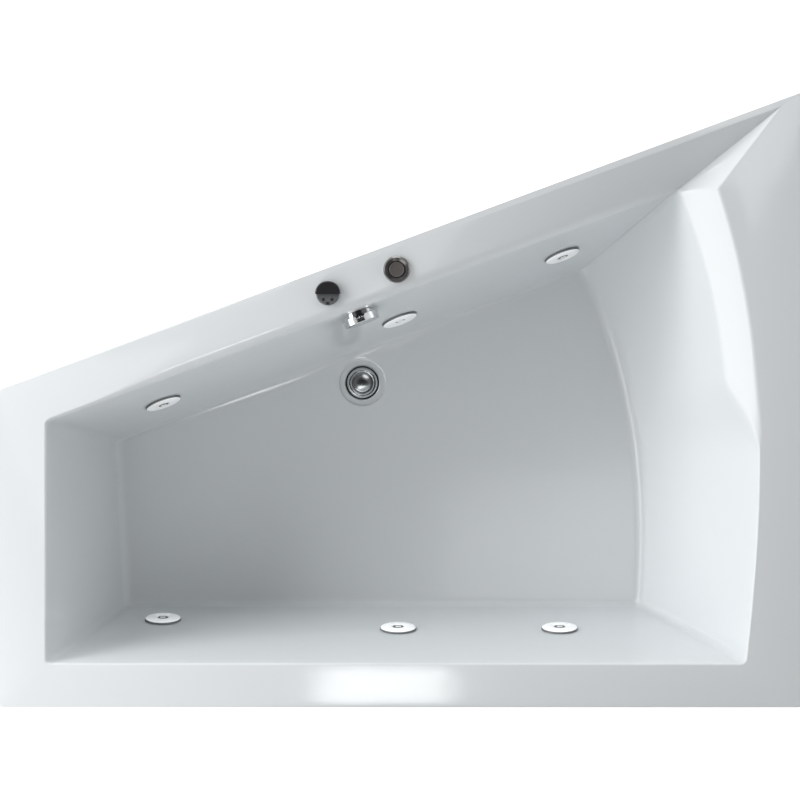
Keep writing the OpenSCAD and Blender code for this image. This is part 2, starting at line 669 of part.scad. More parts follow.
// Pump on its tray beside the basin, under the backrest
tray_t = 3;
pump_x = 700;
shaft_z = rail_top + tray_t + 88;
motor_r = 64;
motor_y0 = -350;
motor_y1 = -168;
volute_y1 = -96;
shaft_r = 8;
pump_feet_y = [-318, -205];
module along_y(y0, y1) {
    translate([pump_x, y0, shaft_z]) rotate([-90, 0, 0]) linear_extrude(y1 - y0) children();
}
module pump_tray() {
    color("silver") difference() {
        box([612, front_rail_y - 20, rail_top], [788, back_rail_y + 20, rail_top + tray_t]);
        for (x = tray_bolts_x, y = [front_rail_y, back_rail_y]) translate([x, y, rail_top - 1])
            cylinder(r = 3.2, h = tray_t + 2);
    }
}
module pump_motor() {
    color("darkslategray") difference() {
        union() {
            along_y(motor_y0 + 34, motor_y1) circle(r = motor_r);
            along_y(motor_y0, motor_y0 + 36) circle(r = motor_r + 3);
            for (a = [30:15:150]) for (y = [motor_y0 + 45])
                translate([pump_x, y, shaft_z]) rotate([0, a - 90, 0]) translate([-1.5, 0, 55])
                    cube([3, motor_y1 - motor_y0 - 60, 15]);
            for (y = pump_feet_y) box([pump_x - 56, y - 14, rail_top + tray_t],
                [pump_x + 56, y + 14, shaft_z - 30]);
        }
        along_y(motor_y0 - 1, motor_y1 + 1) circle(r = shaft_r + 0.06);
        along_y(motor_y0 + 3, motor_y0 + 30) circle(r = motor_r - 2);
        for (a = [0:30:330]) translate([pump_x, motor_y0 - 1, shaft_z]) rotate([0, a, 0])
            translate([0, 0, 38]) bar_y(6, 0, 6);
    }
}
module pump_volute() {
    color("dimgray") difference() {
        union() {
            along_y(motor_y1, volute_y1) circle(r = 76);
            along_y(volute_y1 - 2, -30) circle(r = suction_port_r);
            translate([pump_x + 46, tee_y, shaft_z]) cylinder(r = 20, h = 90);
        }
        along_y(motor_y1 + 6, volute_y1 - 5) circle(r = 70);
        along_y(motor_y1 - 1, motor_y1 + 7) circle(r = shaft_r + 0.06);
        along_y(volute_y1 - 6, -29) circle(r = 18);
        translate([pump_x + 46, tee_y, shaft_z]) cylinder(r = 16, h = 91);
    }
}
module pump_rotor() {
    color("silver") {
        along_y(motor_y0 + 10, volute_y1 - 18) circle(r = shaft_r);
        along_y(motor_y1 + 34, motor_y1 + 38) circle(r = 60);
        along_y(motor_y0 + 10, motor_y0 + 14) circle(r = 30);
        for (a = [0:60:300]) translate([pump_x, 0, shaft_z]) rotate([0, a, 0]) {
            box([-1.5, motor_y1 + 37, 12], [1.5, motor_y1 + 50, 59]);
            box([-1, motor_y0 + 12, 20], [1, motor_y0 + 26, 55]);
        }
    }
}

box_z = shaft_z + motor_r + 7.5;
module switch_box() {
    color("black") difference() {
        union() {
            box([pump_x - 42, -300, box_z - 12], [pump_x + 42, -210, box_z + 34]);
            translate([pump_x + 41, -235, box_z + 16]) bar_x(2.5, 0, 22);
        }
        along_y(-320, -190) circle(r = motor_r + 6.6);
        box([pump_x - 38, -296, box_z + 2], [pump_x + 38, -214, box_z + 30]);
        translate([pump_x + 30, -235, box_z + 16]) bar_x(1.2, 0, 40);
        translate([pump_x, -304, box_z + 14]) bar_y(8.1, 0, 10);
    }
}
module cable_gland() {
    color("black") translate([pump_x, 0, box_z + 14]) difference() {
        union() {
            bar_y(8, -300, -292);
            translate([0, -308, 0]) rotate([-90, 0, 0]) cylinder(r = 11, h = 8, $fn = 6);
            bar_y(8.5, -320, -308);
        }
        bar_y(3.6, -321, -291);
    }
}

// Water tee over the pump's outlet
tee_x = pump_x + 46;
tee_y = -132;
tee_z = 372;
module water_tee() {
    color("gainsboro") translate([tee_x, tee_y, 0]) difference() {
        union() {
            disc(25, shaft_z + 78, tee_z - 10);
            translate([0, 0, tee_z]) bar_y(port_r, -58, 58);
            translate([0, 0, tee_z]) bar_y(24, -26, 26);
        }
        disc(20.1, shaft_z + 77, shaft_z + 90.2);
        disc(14, shaft_z + 80, tee_z);
        translate([0, 0, tee_z]) bar_y(port_bore, -59, 59);
    }
}

// Hoses: a round tube along a path with rounded corners, fitted over the spigots at its ends
function path(pts, d, n) = concat([pts[0]],
    [for (i = [1:len(pts) - 2]) each round_at(pts[i - 1], pts[i], pts[i + 1], d, n)],
    [pts[len(pts) - 1]]);
function tangent(p, i) = unit(p[min(i + 1, len(p) - 1)] - p[max(i - 1, 0)]);
function loop(p, i, r, sides, up) =
    let (t = tangent(p, i), s = unit(cross(t, up)), w = cross(s, t))
    [for (j = [0:sides - 1]) p[i] + r * (s * cos(j * 360 / sides) + w * sin(j * 360 / sides))];
module hose(pts, spigot_r, wall, d = 60, n = 4, sides = 12, up = [0, 0, 1]) {
    p = path(pts, d, n);
    r_in = (spigot_r + 0.1) / cos(180 / sides);
    r_out = r_in + wall;
    rows = len(p);
    points = concat([for (i = [0:rows - 1]) each loop(p, i, r_out, sides, up)],
        [for (i = [0:rows - 1]) each loop(p, i, r_in, sides, up)]);
    in0 = rows * sides;
    last = (rows - 1) * sides;
    faces = concat(
        [for (i = [0:rows - 2], j = [0:sides - 1]) let (a = i * sides, k = (j + 1) % sides)
            each quad(a + k, a + sides + k, a + sides + j, a + j)],
        [for (i = [0:rows - 2], j = [0:sides - 1]) let (a = in0 + i * sides, k = (j + 1) % sides)
            each quad(a + j, a + sides + j, a + sides + k, a + k)],
        [for (j = [0:sides - 1]) let (k = (j + 1) % sides) each quad(in0 + j, in0 + k, k, j)],
        [for (j = [0:sides - 1]) let (k = (j + 1) % sides)
            each quad(in0 + last + k, in0 + last + j, last + j, last + k)]);
    polyhedron(points, faces, convexity = 8);
}
// Two points on a spigot's axis: where the hose ends on it, and where it leaves it straight
function on_port(place, s) = [own(place, 0, s * (port_l - 22), port_z), own(place, 0, s * (port_l + 24), port_z)];
function on_vent(place, s) = [own(place, air_x, s * 26, air_z), own(place, air_x, s * 64, air_z)];
function back(list) = [for (i = [len(list) - 1:-1:0]) list[i]];

hose_wall = 3.4;
end_hose_x = -772;
module water_hose_front() {
    color("whitesmoke") {
        hose(concat([[tee_x, tee_y - 36, tee_z], [tee_x, tee_y - 84, tee_z]],
            [[752, -420, 352], [700, -560, 340]], back(on_port(jets[2], -1))), port_r, hose_wall, d = 90);
        hose(concat(on_port(jets[2], 1), back(on_port(jets[1], -1))), port_r, hose_wall);
        hose(concat(on_port(jets[1], 1), back(on_port(jets[0], -1))), port_r, hose_wall);
        hose(concat(on_port(jets[0], 1), [[-690, -545, 268], [end_hose_x, -470, 280], [end_hose_x, -110, 360],
            [-700, 0, 372]], back(on_port(jets[3], -1))), port_r, hose_wall, d = 60);
    }
}
module water_hose_back() {
    color("whitesmoke") hose(concat([[tee_x, tee_y + 36, tee_z], [tee_x, tee_y + 84, tee_z]],
        [[752, 220, 372], [690, 420, 368], slant3(1470, 88, 360)], back(on_port(jets[4], 1))),
        port_r, hose_wall, d = 70);
}
module suction_hose() {
    color("whitesmoke") hose(concat([own(suction, 0, 38, suction_port_z), own(suction, 0, 90, suction_port_z)],
        [slant3(1060, 96, 300), slant3(1180, 98, 245), slant3(1500, 100, 236), [700, 330, 232]],
        [[pump_x, 0, shaft_z], [pump_x, -54, shaft_z]]), suction_port_r, 3.6, d = 80);
}
module overflow_hose() {
    color("dimgray") hose([own(overflow, 40, 0, -32), own(overflow, 90, 0, -32), own(overflow, 330, -45, -32),
        lift(slant(along(waste), 158), 108), lift(slant(along(waste), along_v(waste) - 40), 108)],
        port_r, 3, d = 55, up = [cos(slant_a), sin(slant_a), 0]);
}
function along_v(p) = (p.x + half_l) * sin(slant_a) - (p.y - back_y) * cos(slant_a);
module bowden_cable() {
    color("black") hose([own(overflow, 0, -44.4, -40), own(overflow, 0, -60, -40), own(overflow, 36, -78, -38),
        own(overflow, 330, -78, -30), slant3(650, 196, 102), slant3(650, along_v(waste), 102),
        lift(waste - 52.4 * [cos(slant_a), sin(slant_a)], 102)],
        1.4, 2, d = 40, sides = 8, up = [sin(slant_a), -cos(slant_a), 0.3]);
}
module air_hose() {
    color("whitesmoke") {
        hose(concat([own(air, 0, -24, -50), own(air, 0, -60, -50)],
            [slant3(560, 60, 500)], back(on_vent(jets[3], 1))), air_r, 2, d = 40, sides = 8);
        hose(concat(on_vent(jets[3], -1), [slant3(120, 70, 420), [end_hose_x, -60, 410],
            [end_hose_x, -500, 330], [-700, -548, 312]], back(on_vent(jets[0], 1))), air_r, 2, d = 50, sides = 8);
        hose(concat(on_vent(jets[0], -1), back(on_vent(jets[1], 1))), air_r, 2, d = 60, sides = 8);
        hose(concat(on_vent(jets[1], -1), back(on_vent(jets[2], 1))), air_r, 2, sides = 8);
        hose(concat([own(air, 0, 0, -70), own(air, 0, 0, -108)],
            [slant3(800, 46, 460), slant3(1060, 62, 425)], back(on_vent(jets[4], -1))),
            air_r, 2, d = 40, sides = 8, up = [sin(slant_a), -cos(slant_a), 0]);
    }
}
module button_tube() {
    color("silver") hose(concat([own(button, 0, 18, -36), own(button, 0, 46, -36)],
        [slant3(1000, 36, 552), slant3(1560, 36, 552), [806, 560, 540], [812, 300, 480],
        [812, -200, 400], [790, -235, box_z + 16], [pump_x + 52, -235, box_z + 16]]),
        2.5, 1.2, d = 45, n = 3, sides = 8);
}

tub_shell();
base_board();
rail_front();
rail_back();
rail_short();
foot_rod(0);  // foot_rod_1
foot_rod(1);  // foot_rod_2
foot_rod(2);  // foot_rod_3
foot_rod(3);  // foot_rod_4
foot_rod(4);  // foot_rod_5
foot_pad(0);  // foot_pad_1
foot_pad(1);  // foot_pad_2
foot_pad(2);  // foot_pad_3
foot_pad(3);  // foot_pad_4
foot_pad(4);  // foot_pad_5
foot_nuts();
frame_screws();
jet_bodies();
jet_sleeves();
jet_gaskets();
jet_ring(0);  // jet_ring_1
jet_ring(1);  // jet_ring_2
jet_ring(2);  // jet_ring_3
jet_ring(3);  // jet_ring_4
jet_ring(4);  // jet_ring_5
jet_nozzle(0);  // jet_nozzle_1
jet_nozzle(1);  // jet_nozzle_2
jet_nozzle(2);  // jet_nozzle_3
jet_nozzle(3);  // jet_nozzle_4
jet_nozzle(4);  // jet_nozzle_5
suction_body();
suction_cover();
suction_hose();
overflow_elbow();
overflow_face();
overflow_knob();
overflow_hose();
bowden_cable();
waste_flange();
waste_seal();
waste_body();
waste_plug();
trap();
air_knob();
air_valve();
air_hose();
button_bezel();
button_cap();
button_bellows();
button_tube();
pump_motor();
pump_volute();
pump_rotor();
pump_tray();
switch_box();
cable_gland();
water_tee();
water_hose_front();
water_hose_back();
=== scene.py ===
import bisect
import json
import math
import bpy
import bmesh
from mathutils import Matrix, Vector


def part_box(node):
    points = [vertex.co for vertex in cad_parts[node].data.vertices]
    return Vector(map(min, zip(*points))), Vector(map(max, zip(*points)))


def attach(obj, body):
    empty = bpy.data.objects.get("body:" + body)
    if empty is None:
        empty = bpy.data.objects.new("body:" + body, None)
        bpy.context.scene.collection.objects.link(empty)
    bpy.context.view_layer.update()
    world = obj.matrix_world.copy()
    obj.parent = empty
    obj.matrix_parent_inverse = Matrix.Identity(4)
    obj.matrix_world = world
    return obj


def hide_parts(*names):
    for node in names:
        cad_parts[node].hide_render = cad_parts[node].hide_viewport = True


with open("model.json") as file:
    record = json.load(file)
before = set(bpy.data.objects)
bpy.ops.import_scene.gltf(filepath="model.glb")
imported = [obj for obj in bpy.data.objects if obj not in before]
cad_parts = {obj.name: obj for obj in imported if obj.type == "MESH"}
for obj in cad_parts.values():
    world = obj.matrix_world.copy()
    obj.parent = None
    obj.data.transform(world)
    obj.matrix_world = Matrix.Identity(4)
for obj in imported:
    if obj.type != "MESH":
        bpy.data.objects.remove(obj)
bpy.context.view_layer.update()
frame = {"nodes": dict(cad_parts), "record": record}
nodes = frame["nodes"]
record = frame["record"]
scene = bpy.context.scene
mm = 0.001  # a millimetre in Blender's metres
print("frame loaded with", len(nodes), "nodes")


def linear(hexColour):  # sRGB hex as given, turned into linear values
    parts = [int(hexColour[i:i + 2], 16) / 255 for i in (1, 3, 5)]
    return [c / 12.92 if c <= 0.04045 else ((c + 0.055) / 1.055) ** 2.4 for c in parts] + [1.0]


def perMetre(size):  # a pattern's scale from the size of its grain in millimetres
    return 1000 / size


def addNode(tree, kind, settings=None, links=None):
    node = tree.nodes.new(kind)
    for name, value in (settings or {}).items():
        if isinstance(name, int) or name in node.inputs:
            node.inputs[name].default_value = value
        else:
            setattr(node, name, value)
    for name, source in (links or {}).items():
        tree.links.new(source, node.inputs[name])
    return node


def newMaterial(name):
    material = bpy.data.materials.new(name)
    material.use_nodes = True
    material.node_tree.nodes.clear()
    return material, material.node_tree


def closeMaterial(tree, shader):
    addNode(tree, "ShaderNodeOutputMaterial", links={"Surface": shader.outputs[0]})


def makeAcrylic():
    # vacuum-formed cast acrylic: mirror-like gloss that waves very slightly where the sheet was
    # stretched, about every 111 mm, and is wiped a little duller in patches of 17 mm
    material, tree = newMaterial("cast acrylic")
    place = addNode(tree, "ShaderNodeTexCoord")
    stretch = addNode(tree, "ShaderNodeTexNoise", {"Scale": perMetre(111.1), "Detail": 2.0},
                      {"Vector": place.outputs["Object"]})
    wipe = addNode(tree, "ShaderNodeTexNoise", {"Scale": perMetre(16.67), "Detail": 4.0},
                   {"Vector": place.outputs["Object"]})
    sheen = addNode(tree, "ShaderNodeMapRange", {"To Min": 0.05, "To Max": 0.12},
                    {"Value": wipe.outputs["Fac"]})
    wave = addNode(tree, "ShaderNodeBump", {"Strength": 0.12, "Distance": 2 * mm},
                   {"Height": stretch.outputs["Fac"]})
    shader = addNode(tree, "ShaderNodeBsdfPrincipled",
                     {"Base Color": linear("#e4e8ea"), "IOR": 1.49},
                     {"Roughness": sheen.outputs["Result"], "Normal": wave.outputs["Normal"]})
    closeMaterial(tree, shader)
    return material


def makeBacking():
    # sprayed glass fibre and resin: cream, with lumps of 26 mm, and short strands that lie
    # about 6 mm apart and catch the light
    material, tree = newMaterial("glass fibre backing")
    place = addNode(tree, "ShaderNodeTexCoord")
    lumps = addNode(tree, "ShaderNodeTexNoise", {"Scale": perMetre(26.32), "Detail": 5.0},
                    {"Vector": place.outputs["Object"]})
    strands = addNode(tree, "ShaderNodeTexVoronoi",
                      {"Scale": perMetre(6.25), "feature": "DISTANCE_TO_EDGE"},
                      {"Vector": place.outputs["Object"]})
    tone = addNode(tree, "ShaderNodeMix",
                   {"data_type": "RGBA", "A": linear("#bdb79c"), "B": linear("#d8d3bd")},
                   {"Factor": lumps.outputs["Fac"]})
    coarse = addNode(tree, "ShaderNodeBump", {"Strength": 0.6, "Distance": 4 * mm},
                     {"Height": lumps.outputs["Fac"]})
    fine = addNode(tree, "ShaderNodeBump", {"Strength": 0.3, "Distance": 1 * mm},
                   {"Height": strands.outputs["Distance"], "Normal": coarse.outputs["Normal"]})
    shader = addNode(tree, "ShaderNodeBsdfPrincipled", {"Roughness": 0.45},
                     {"Base Color": tone.outputs["Result"], "Normal": fine.outputs["Normal"]})
    closeMaterial(tree, shader)
    return material


def makePlating(name, colour, roughMin, roughMax):
    # chromium plated over moulded plastic: clean reflections, a faint haze in spots of 7 mm
    # where it was handled
    material, tree = newMaterial(name)
    place = addNode(tree, "ShaderNodeTexCoord")
    haze = addNode(tree, "ShaderNodeTexNoise", {"Scale": perMetre(7.143), "Detail": 3.0},
                   {"Vector": place.outputs["Object"]})
    rough = addNode(tree, "ShaderNodeMapRange", {"To Min": roughMin, "To Max": roughMax},
                    {"Value": haze.outputs["Fac"]})
    shader = addNode(tree, "ShaderNodeBsdfPrincipled",
                     {"Base Color": linear(colour), "Metallic": 1.0},
                     {"Roughness": rough.outputs["Result"]})
    closeMaterial(tree, shader)
    return material


def makeMoulded(name, colour, rough, grain):
    # injection-moulded plastic or rubber: even colour, and a moulded grain that softens the
    # highlight, 1.1 mm here because the real 0.1 mm is too fine to show
    material, tree = newMaterial(name)
    place = addNode(tree, "ShaderNodeTexCoord")
    speck = addNode(tree, "ShaderNodeTexNoise", {"Scale": perMetre(1.111), "Detail": 2.0},
                    {"Vector": place.outputs["Object"]})
    cloud = addNode(tree, "ShaderNodeTexNoise", {"Scale": perMetre(71.43), "Detail": 3.0},
                    {"Vector": place.outputs["Object"]})
    shade = addNode(tree, "ShaderNodeMapRange", {"To Min": rough - 0.06, "To Max": rough + 0.06},
                    {"Value": cloud.outputs["Fac"]})
    bump = addNode(tree, "ShaderNodeBump", {"Strength": grain, "Distance": 0.4 * mm},
                   {"Height": speck.outputs["Fac"]})
    shader = addNode(tree, "ShaderNodeBsdfPrincipled", {"Base Color": linear(colour)},
                     {"Roughness": shade.outputs["Result"], "Normal": bump.outputs["Normal"]})
    closeMaterial(tree, shader)
    return material


def makeTwoShotOrPaintedShade(name, topColour, baseColour, spot, level):
    # two colours that change sharply at one level above the wall: on the air knob two plastics
    # moulded together, on the jets and the suction cover the colour below the level is painted
    # shade; the same
    # 1.1 mm grain, again coarser than the real one, softens both
    point, n = spot
    material, tree = newMaterial(name)
    place = addNode(tree, "ShaderNodeTexCoord")
    height = addNode(tree, "ShaderNodeVectorMath", {"operation": "DOT_PRODUCT", 1: n},
                     {0: place.outputs["Object"]})
    above = addNode(tree, "ShaderNodeMath",
                    {"operation": "GREATER_THAN", 1: (n.dot(point) + level) * mm},
                    {0: height.outputs["Value"]})
    tone = addNode(tree, "ShaderNodeMix",
                   {"data_type": "RGBA", "A": linear(baseColour), "B": linear(topColour)},
                   {"Factor": above.outputs[0]})
    grain = addNode(tree, "ShaderNodeTexNoise", {"Scale": perMetre(1.111), "Detail": 2.0},
                    {"Vector": place.outputs["Object"]})
    bump = addNode(tree, "ShaderNodeBump", {"Strength": 0.2, "Distance": 0.4 * mm},
                   {"Height": grain.outputs["Fac"]})
    shader = addNode(tree, "ShaderNodeBsdfPrincipled", {"Roughness": 0.35},
                     {"Base Color": tone.outputs["Result"], "Normal": bump.outputs["Normal"]})
    closeMaterial(tree, shader)
    return material


def makeChipboard():
    # pressed wood, raw and unsanded: flakes of 6 mm in two tones, and a matt fuzz of 2.4 mm fibres
    material, tree = newMaterial("raw chipboard")
    place = addNode(tree, "ShaderNodeTexCoord")
    flakes = addNode(tree, "ShaderNodeTexVoronoi", {"Scale": perMetre(5.882)},
                     {"Vector": place.outputs["Object"]})
    fibre = addNode(tree, "ShaderNodeTexNoise", {"Scale": perMetre(2.381), "Detail": 4.0},
                    {"Vector": place.outputs["Object"]})
    tone = addNode(tree, "ShaderNodeMix",
                   {"data_type": "RGBA", "A": linear("#9c7f58"), "B": linear("#c9ae83")},
                   {"Factor": flakes.outputs["Distance"]})
    bump = addNode(tree, "ShaderNodeBump", {"Strength": 0.4, "Distance": 0.6 * mm},
                   {"Height": fibre.outputs["Fac"]})
    shader = addNode(tree, "ShaderNodeBsdfPrincipled", {"Roughness": 0.8},
                     {"Base Color": tone.outputs["Result"], "Normal": bump.outputs["Normal"]})
    closeMaterial(tree, shader)
    return material


def makeZincSteel():
    # bright zinc plating: crystals of 8 mm turn the grey patchy, and the drawn tube leaves
    # lines along X, 2.5 mm apart because the real ones are too fine to show
    material, tree = newMaterial("zinc-plated steel")
    place = addNode(tree, "ShaderNodeTexCoord")
    drawn = addNode(tree, "ShaderNodeMapping",
                    {"Scale": (perMetre(166.7), perMetre(2.5), perMetre(2.5))},
                    {"Vector": place.outputs["Object"]})
    lines = addNode(tree, "ShaderNodeTexNoise", {"Scale": 1.0, "Detail": 2.0},
                    {"Vector": drawn.outputs["Vector"]})
    patch = addNode(tree, "ShaderNodeTexVoronoi", {"Scale": perMetre(8.333)},
                    {"Vector": place.outputs["Object"]})
    tone = addNode(tree, "ShaderNodeMix",
                   {"data_type": "RGBA", "A": linear("#a3a6a8"), "B": linear("#c2c5c6")},
                   {"Factor": patch.outputs["Distance"]})
    rough = addNode(tree, "ShaderNodeMapRange", {"To Min": 0.3, "To Max": 0.48},
                    {"Value": lines.outputs["Fac"]})
    shader = addNode(tree, "ShaderNodeBsdfPrincipled", {"Metallic": 1.0},
                     {"Base Color": tone.outputs["Result"], "Roughness": rough.outputs["Result"]})
    closeMaterial(tree, shader)
    return material


def dress(name, material):
    nodes[name].data.materials.clear()
    nodes[name].data.materials.append(material)


# the jets and the suction cover have looks of their own, further down
finishes = {
    "acrylic": makeAcrylic(),
    "board": makeChipboard(),
    "zinc_steel": makeZincSteel(),
    "chrome": makePlating("polished chrome", "#d4d6d8", 0.04, 0.1),
    "black_chrome": makePlating("smoked chrome", "#7c7a79", 0.2, 0.28),
    "white_plastic": makeMoulded("white ABS", "#dcdcd8", 0.42, 0.15),
    "grey_plastic": makeMoulded("grey polypropylene", "#76797c", 0.48, 0.2),
    "black_plastic": makeMoulded("black ABS", "#1d1d1f", 0.42, 0.2),
    "black_rubber": makeMoulded("black rubber", "#141414", 0.68, 0.35),
    "hose": makeMoulded("flexible PVC hose", "#c4c9ca", 0.35, 0.1),
    "motor_paint": makeMoulded("powder-coated casting", "#2c333b", 0.4, 0.5),
}
plainParts = [part for part in record["subparts"] if part["material_slot"] in finishes]
for part in plainParts:
    dress(part["node"], finishes[part["material_slot"]])
print("finishes on", len(plainParts), "nodes")

# bath shell: the frame's outline with finer rounding, sizes in millimetres
# U runs along the slanted side from the narrow end, V from that side into the basin
bath = {"length": 1700, "width": 1300, "endWidth": 670, "rimZ": 600, "depth": 440, "shell": 6,
        "lip": 38, "rimEnd": 103, "rimFront": 93, "land": 9, "wideLand": 5,
        "ledge": 97, "ledgeMore": 3.6, "ledgeDrop": 60, "strip": 13, "stripMore": 1,
        "stripFrom": 150, "stripOver": 500, "sinkFrom": 500, "endShift": 10,
        "wideX": 729.6, "neckX": 671.3, "neckY": 445, "neckW": 79.6, "pastNeck": 30, "tipX": 804,
        "bow": 56.6, "bowSkew": 0.26, "bandW": 62, "bandDrop": 44, "bandLow": -110, "bandFull": 50,
        "footV": 182, "footFrontY": -461, "footEndX": -634, "footEndFrontX": -613,
        "footWideX": 534.5, "footNeckX": 411, "footBow": 52.5, "footSkew": 0.15,
        "cornerR": [8, 20, 12, 20, 6], "crispR": 4, "tipCut": 0.002, "tipShare": 5 / 8,
        "dish": [6, 0, 14, 0], "waste": (-84.5, 37.5)}
# bends in the shell; flatShare, rimOut and rimDown are shares, and sharp is in degrees
folds = {"edgeR": 5, "edgeSteps": 5, "landR": 5, "landSteps": 6, "ledgeR": 7, "slantMore": 14,
         "bandMore": 60, "ledgeSteps": 8, "wallSteps": 10, "footR": 20, "footSteps": 8,
         "flatFrom": 60, "flatShare": 0.6, "under": 8, "rimOut": 1.1, "rimDown": 1.4,
         "sharp": 24}
# where the waste sits in the floor, and how the shell's back goes round it
seat = {"r": 50, "edge": 4, "edgeDrop": 2, "round": 1.5, "roundDrop": 3.2, "drop": 7,
        "backIn": 6, "backOut": 14}
outer, land, ledge, foot, lip = range(5)  # outlines, from the rim's outer edge to its underside
wideEnd, slantedSide = 2, 3  # the sides that aren't straight; 0 is the narrow end, 1 the front
cornerPull = 6  # the higher this power, the nearer to its corner a side gives way
legShare = 0.48  # the most of a leg that a bend may take, so that two bends never meet
shellSteps = {"sides": [24, 40, 84, 110], "corners": [10, 10, 32, 10]}
sideLengths = [560, 1400, 950, 1350]  # rough, for the share that a corner takes
rimZ, thick = bath["rimZ"], bath["shell"]
halfL, halfW = bath["length"] / 2, bath["width"] / 2
backY = bath["endWidth"] - halfW
slantA = math.atan2(bath["width"] - bath["endWidth"], bath["length"])
floorZ = rimZ - bath["depth"]
frontY, endX = -halfW + bath["rimFront"], -halfL + bath["rimEnd"]


def clamp(x):
    return min(1.0, max(0.0, x))


def smooth(x):
    return clamp(x) ** 2 * (3 - 2 * clamp(x))


def mixed(a, b, t):
    return a + (b - a) * t


def bend(a, b, c, t):
    return a.lerp(b, t).lerp(b.lerp(c, t), t)


def atLevel(p, z):
    return Vector((p.x, p.y, z))


def slant(u, v, z=0.0):
    return Vector((-halfL + u * math.cos(slantA) + v * math.sin(slantA),
                   backY + u * math.sin(slantA) - v * math.cos(slantA), z))


def slantAt(x, v, z=0.0):
    return Vector((x, backY + (x + halfL) * math.tan(slantA) - v / math.cos(slantA), z))


def along(p):
    return (p.x + halfL) * math.cos(slantA) + (p.y - backY) * math.sin(slantA)


tip = slantAt(bath["tipX"], bath["strip"] + bath["stripMore"], rimZ)
lowCorner = slantAt(bath["neckX"] - bath["neckW"], bath["ledge"] + bath["ledgeMore"],
                    rimZ - bath["ledgeDrop"])
lowU = along(lowCorner)


def sink(u):  # how far the ledge has sunk below the rim
    return bath["ledgeDrop"] * clamp((u - bath["sinkFrom"]) / (lowU - bath["sinkFrom"])) ** 2


def bow(a, b, rise, skew, s):
    return mixed(a, b, s) + 4 * rise * s * (1 - s) * (1 + skew * (2 * s - 1))


def band(y):  # share of the sloping band beside the wide end's rim
    return smooth((y - bath["bandLow"]) / (bath["bandFull"] - bath["bandLow"]))


# corners of each outline: narrow end at the slanted side and at the front, wide end the same back
outlines = [
    [slantAt(-halfL, 0), Vector((-halfL, -halfW, 0)), Vector((halfL, -halfW, 0)),
     Vector((halfL, halfW, 0))],
    [slantAt(endX - bath["land"], bath["ledge"] - bath["land"]),
     Vector((endX - bath["land"], frontY - bath["land"], 0)),
     Vector((bath["wideX"] + bath["wideLand"], frontY - bath["land"], 0)), tip],
    [slantAt(endX, bath["ledge"]), Vector((endX, frontY, 0)), Vector((bath["wideX"], frontY, 0)),
     lowCorner],
    [slantAt(bath["footEndX"], bath["footV"]),
     Vector((bath["footEndFrontX"], bath["footFrontY"], 0)),
     Vector((bath["footWideX"], bath["footFrontY"], 0)), slantAt(bath["footNeckX"], bath["footV"])],
    [slantAt(-halfL + thick, thick), Vector((-halfL + thick, -halfW + thick, 0)),
     Vector((halfL - thick, -halfW + thick, 0)), slantAt(halfL - thick, thick)]]
levels = [rimZ, rimZ, rimZ, floorZ, rimZ - thick]
narrowU = along(outlines[ledge][0])


def wideSide(k, s):
    y = mixed(frontY, bath["neckY"], s)
    if k in (outer, lip):
        start = outlines[k][2]
        return Vector((start.x, mixed(start.y, bath["neckY"] + bath["pastNeck"], s), levels[k]))
    rimX = bow(bath["wideX"], bath["neckX"], bath["bow"], bath["bowSkew"], s)
    if k == land:
        return Vector((rimX + bath["wideLand"] * (1 - band(y)), y - bath["land"] * (1 - s), rimZ))
    if k == ledge:
        share = clamp(y / bath["neckY"]) ** 2
        return Vector((rimX - mixed(bath["bandW"], bath["neckW"], share) * band(y), y,
                       rimZ - mixed(bath["bandDrop"], bath["ledgeDrop"], share) * band(y)))
    return Vector((bow(bath["footWideX"], bath["footNeckX"], bath["footBow"], bath["footSkew"], s),
                   mixed(bath["footFrontY"], outlines[foot][3].y, s), floorZ))


def slantSide(k, s):
    u = mixed(lowU, narrowU, s)
    if k in (outer, lip):
        return atLevel(outlines[k][3].lerp(outlines[k][0], s), levels[k])
    if k == land:
        near = (1 - s) ** cornerPull
        stripV = mixed(bath["strip"], bath["strip"] + bath["stripMore"], near)
        v = mixed(stripV, bath["ledge"] - bath["land"],
                  1 - smooth((u - bath["stripFrom"]) / bath["stripOver"]))
        return slant(u + (along(tip) - lowU) * near - bath["endShift"] * s ** cornerPull, v, rimZ)
    if k == ledge:
        return slant(u, mixed(bath["ledge"] + bath["ledgeMore"], bath["ledge"], s), rimZ - sink(u))
    return slant(u - (lowU - along(outlines[foot][3])) * (1 - s) ** cornerPull
                 + (along(outlines[foot][0]) - narrowU) * s ** cornerPull, bath["footV"], floorZ)


def sidePoint(k, i, s):
    if i == wideEnd:
        return wideSide(k, s)
    if i == slantedSide:
        return slantSide(k, s)
    return atLevel(outlines[k][i].lerp(outlines[k][i + 1], s), levels[k])


def trimmedPoint(k, i, s):  # a side without the length that its rounded corners take
    cut, crisp = bath["cornerR"][k] / sideLengths[i], bath["crispR"] / sideLengths[i]
    first, last = cut, 1 - cut
    if i == wideEnd and k in (outer, land, lip):
        last = 1
    if i == slantedSide and k == land:
        first = bath["tipCut"]
    if i == wideEnd and k == ledge:  # the low corner of the ledge stays crisp
        last = 1 - crisp
    if i == slantedSide and k == ledge:
        first = crisp
    return sidePoint(k, i, mixed(first, last, s))


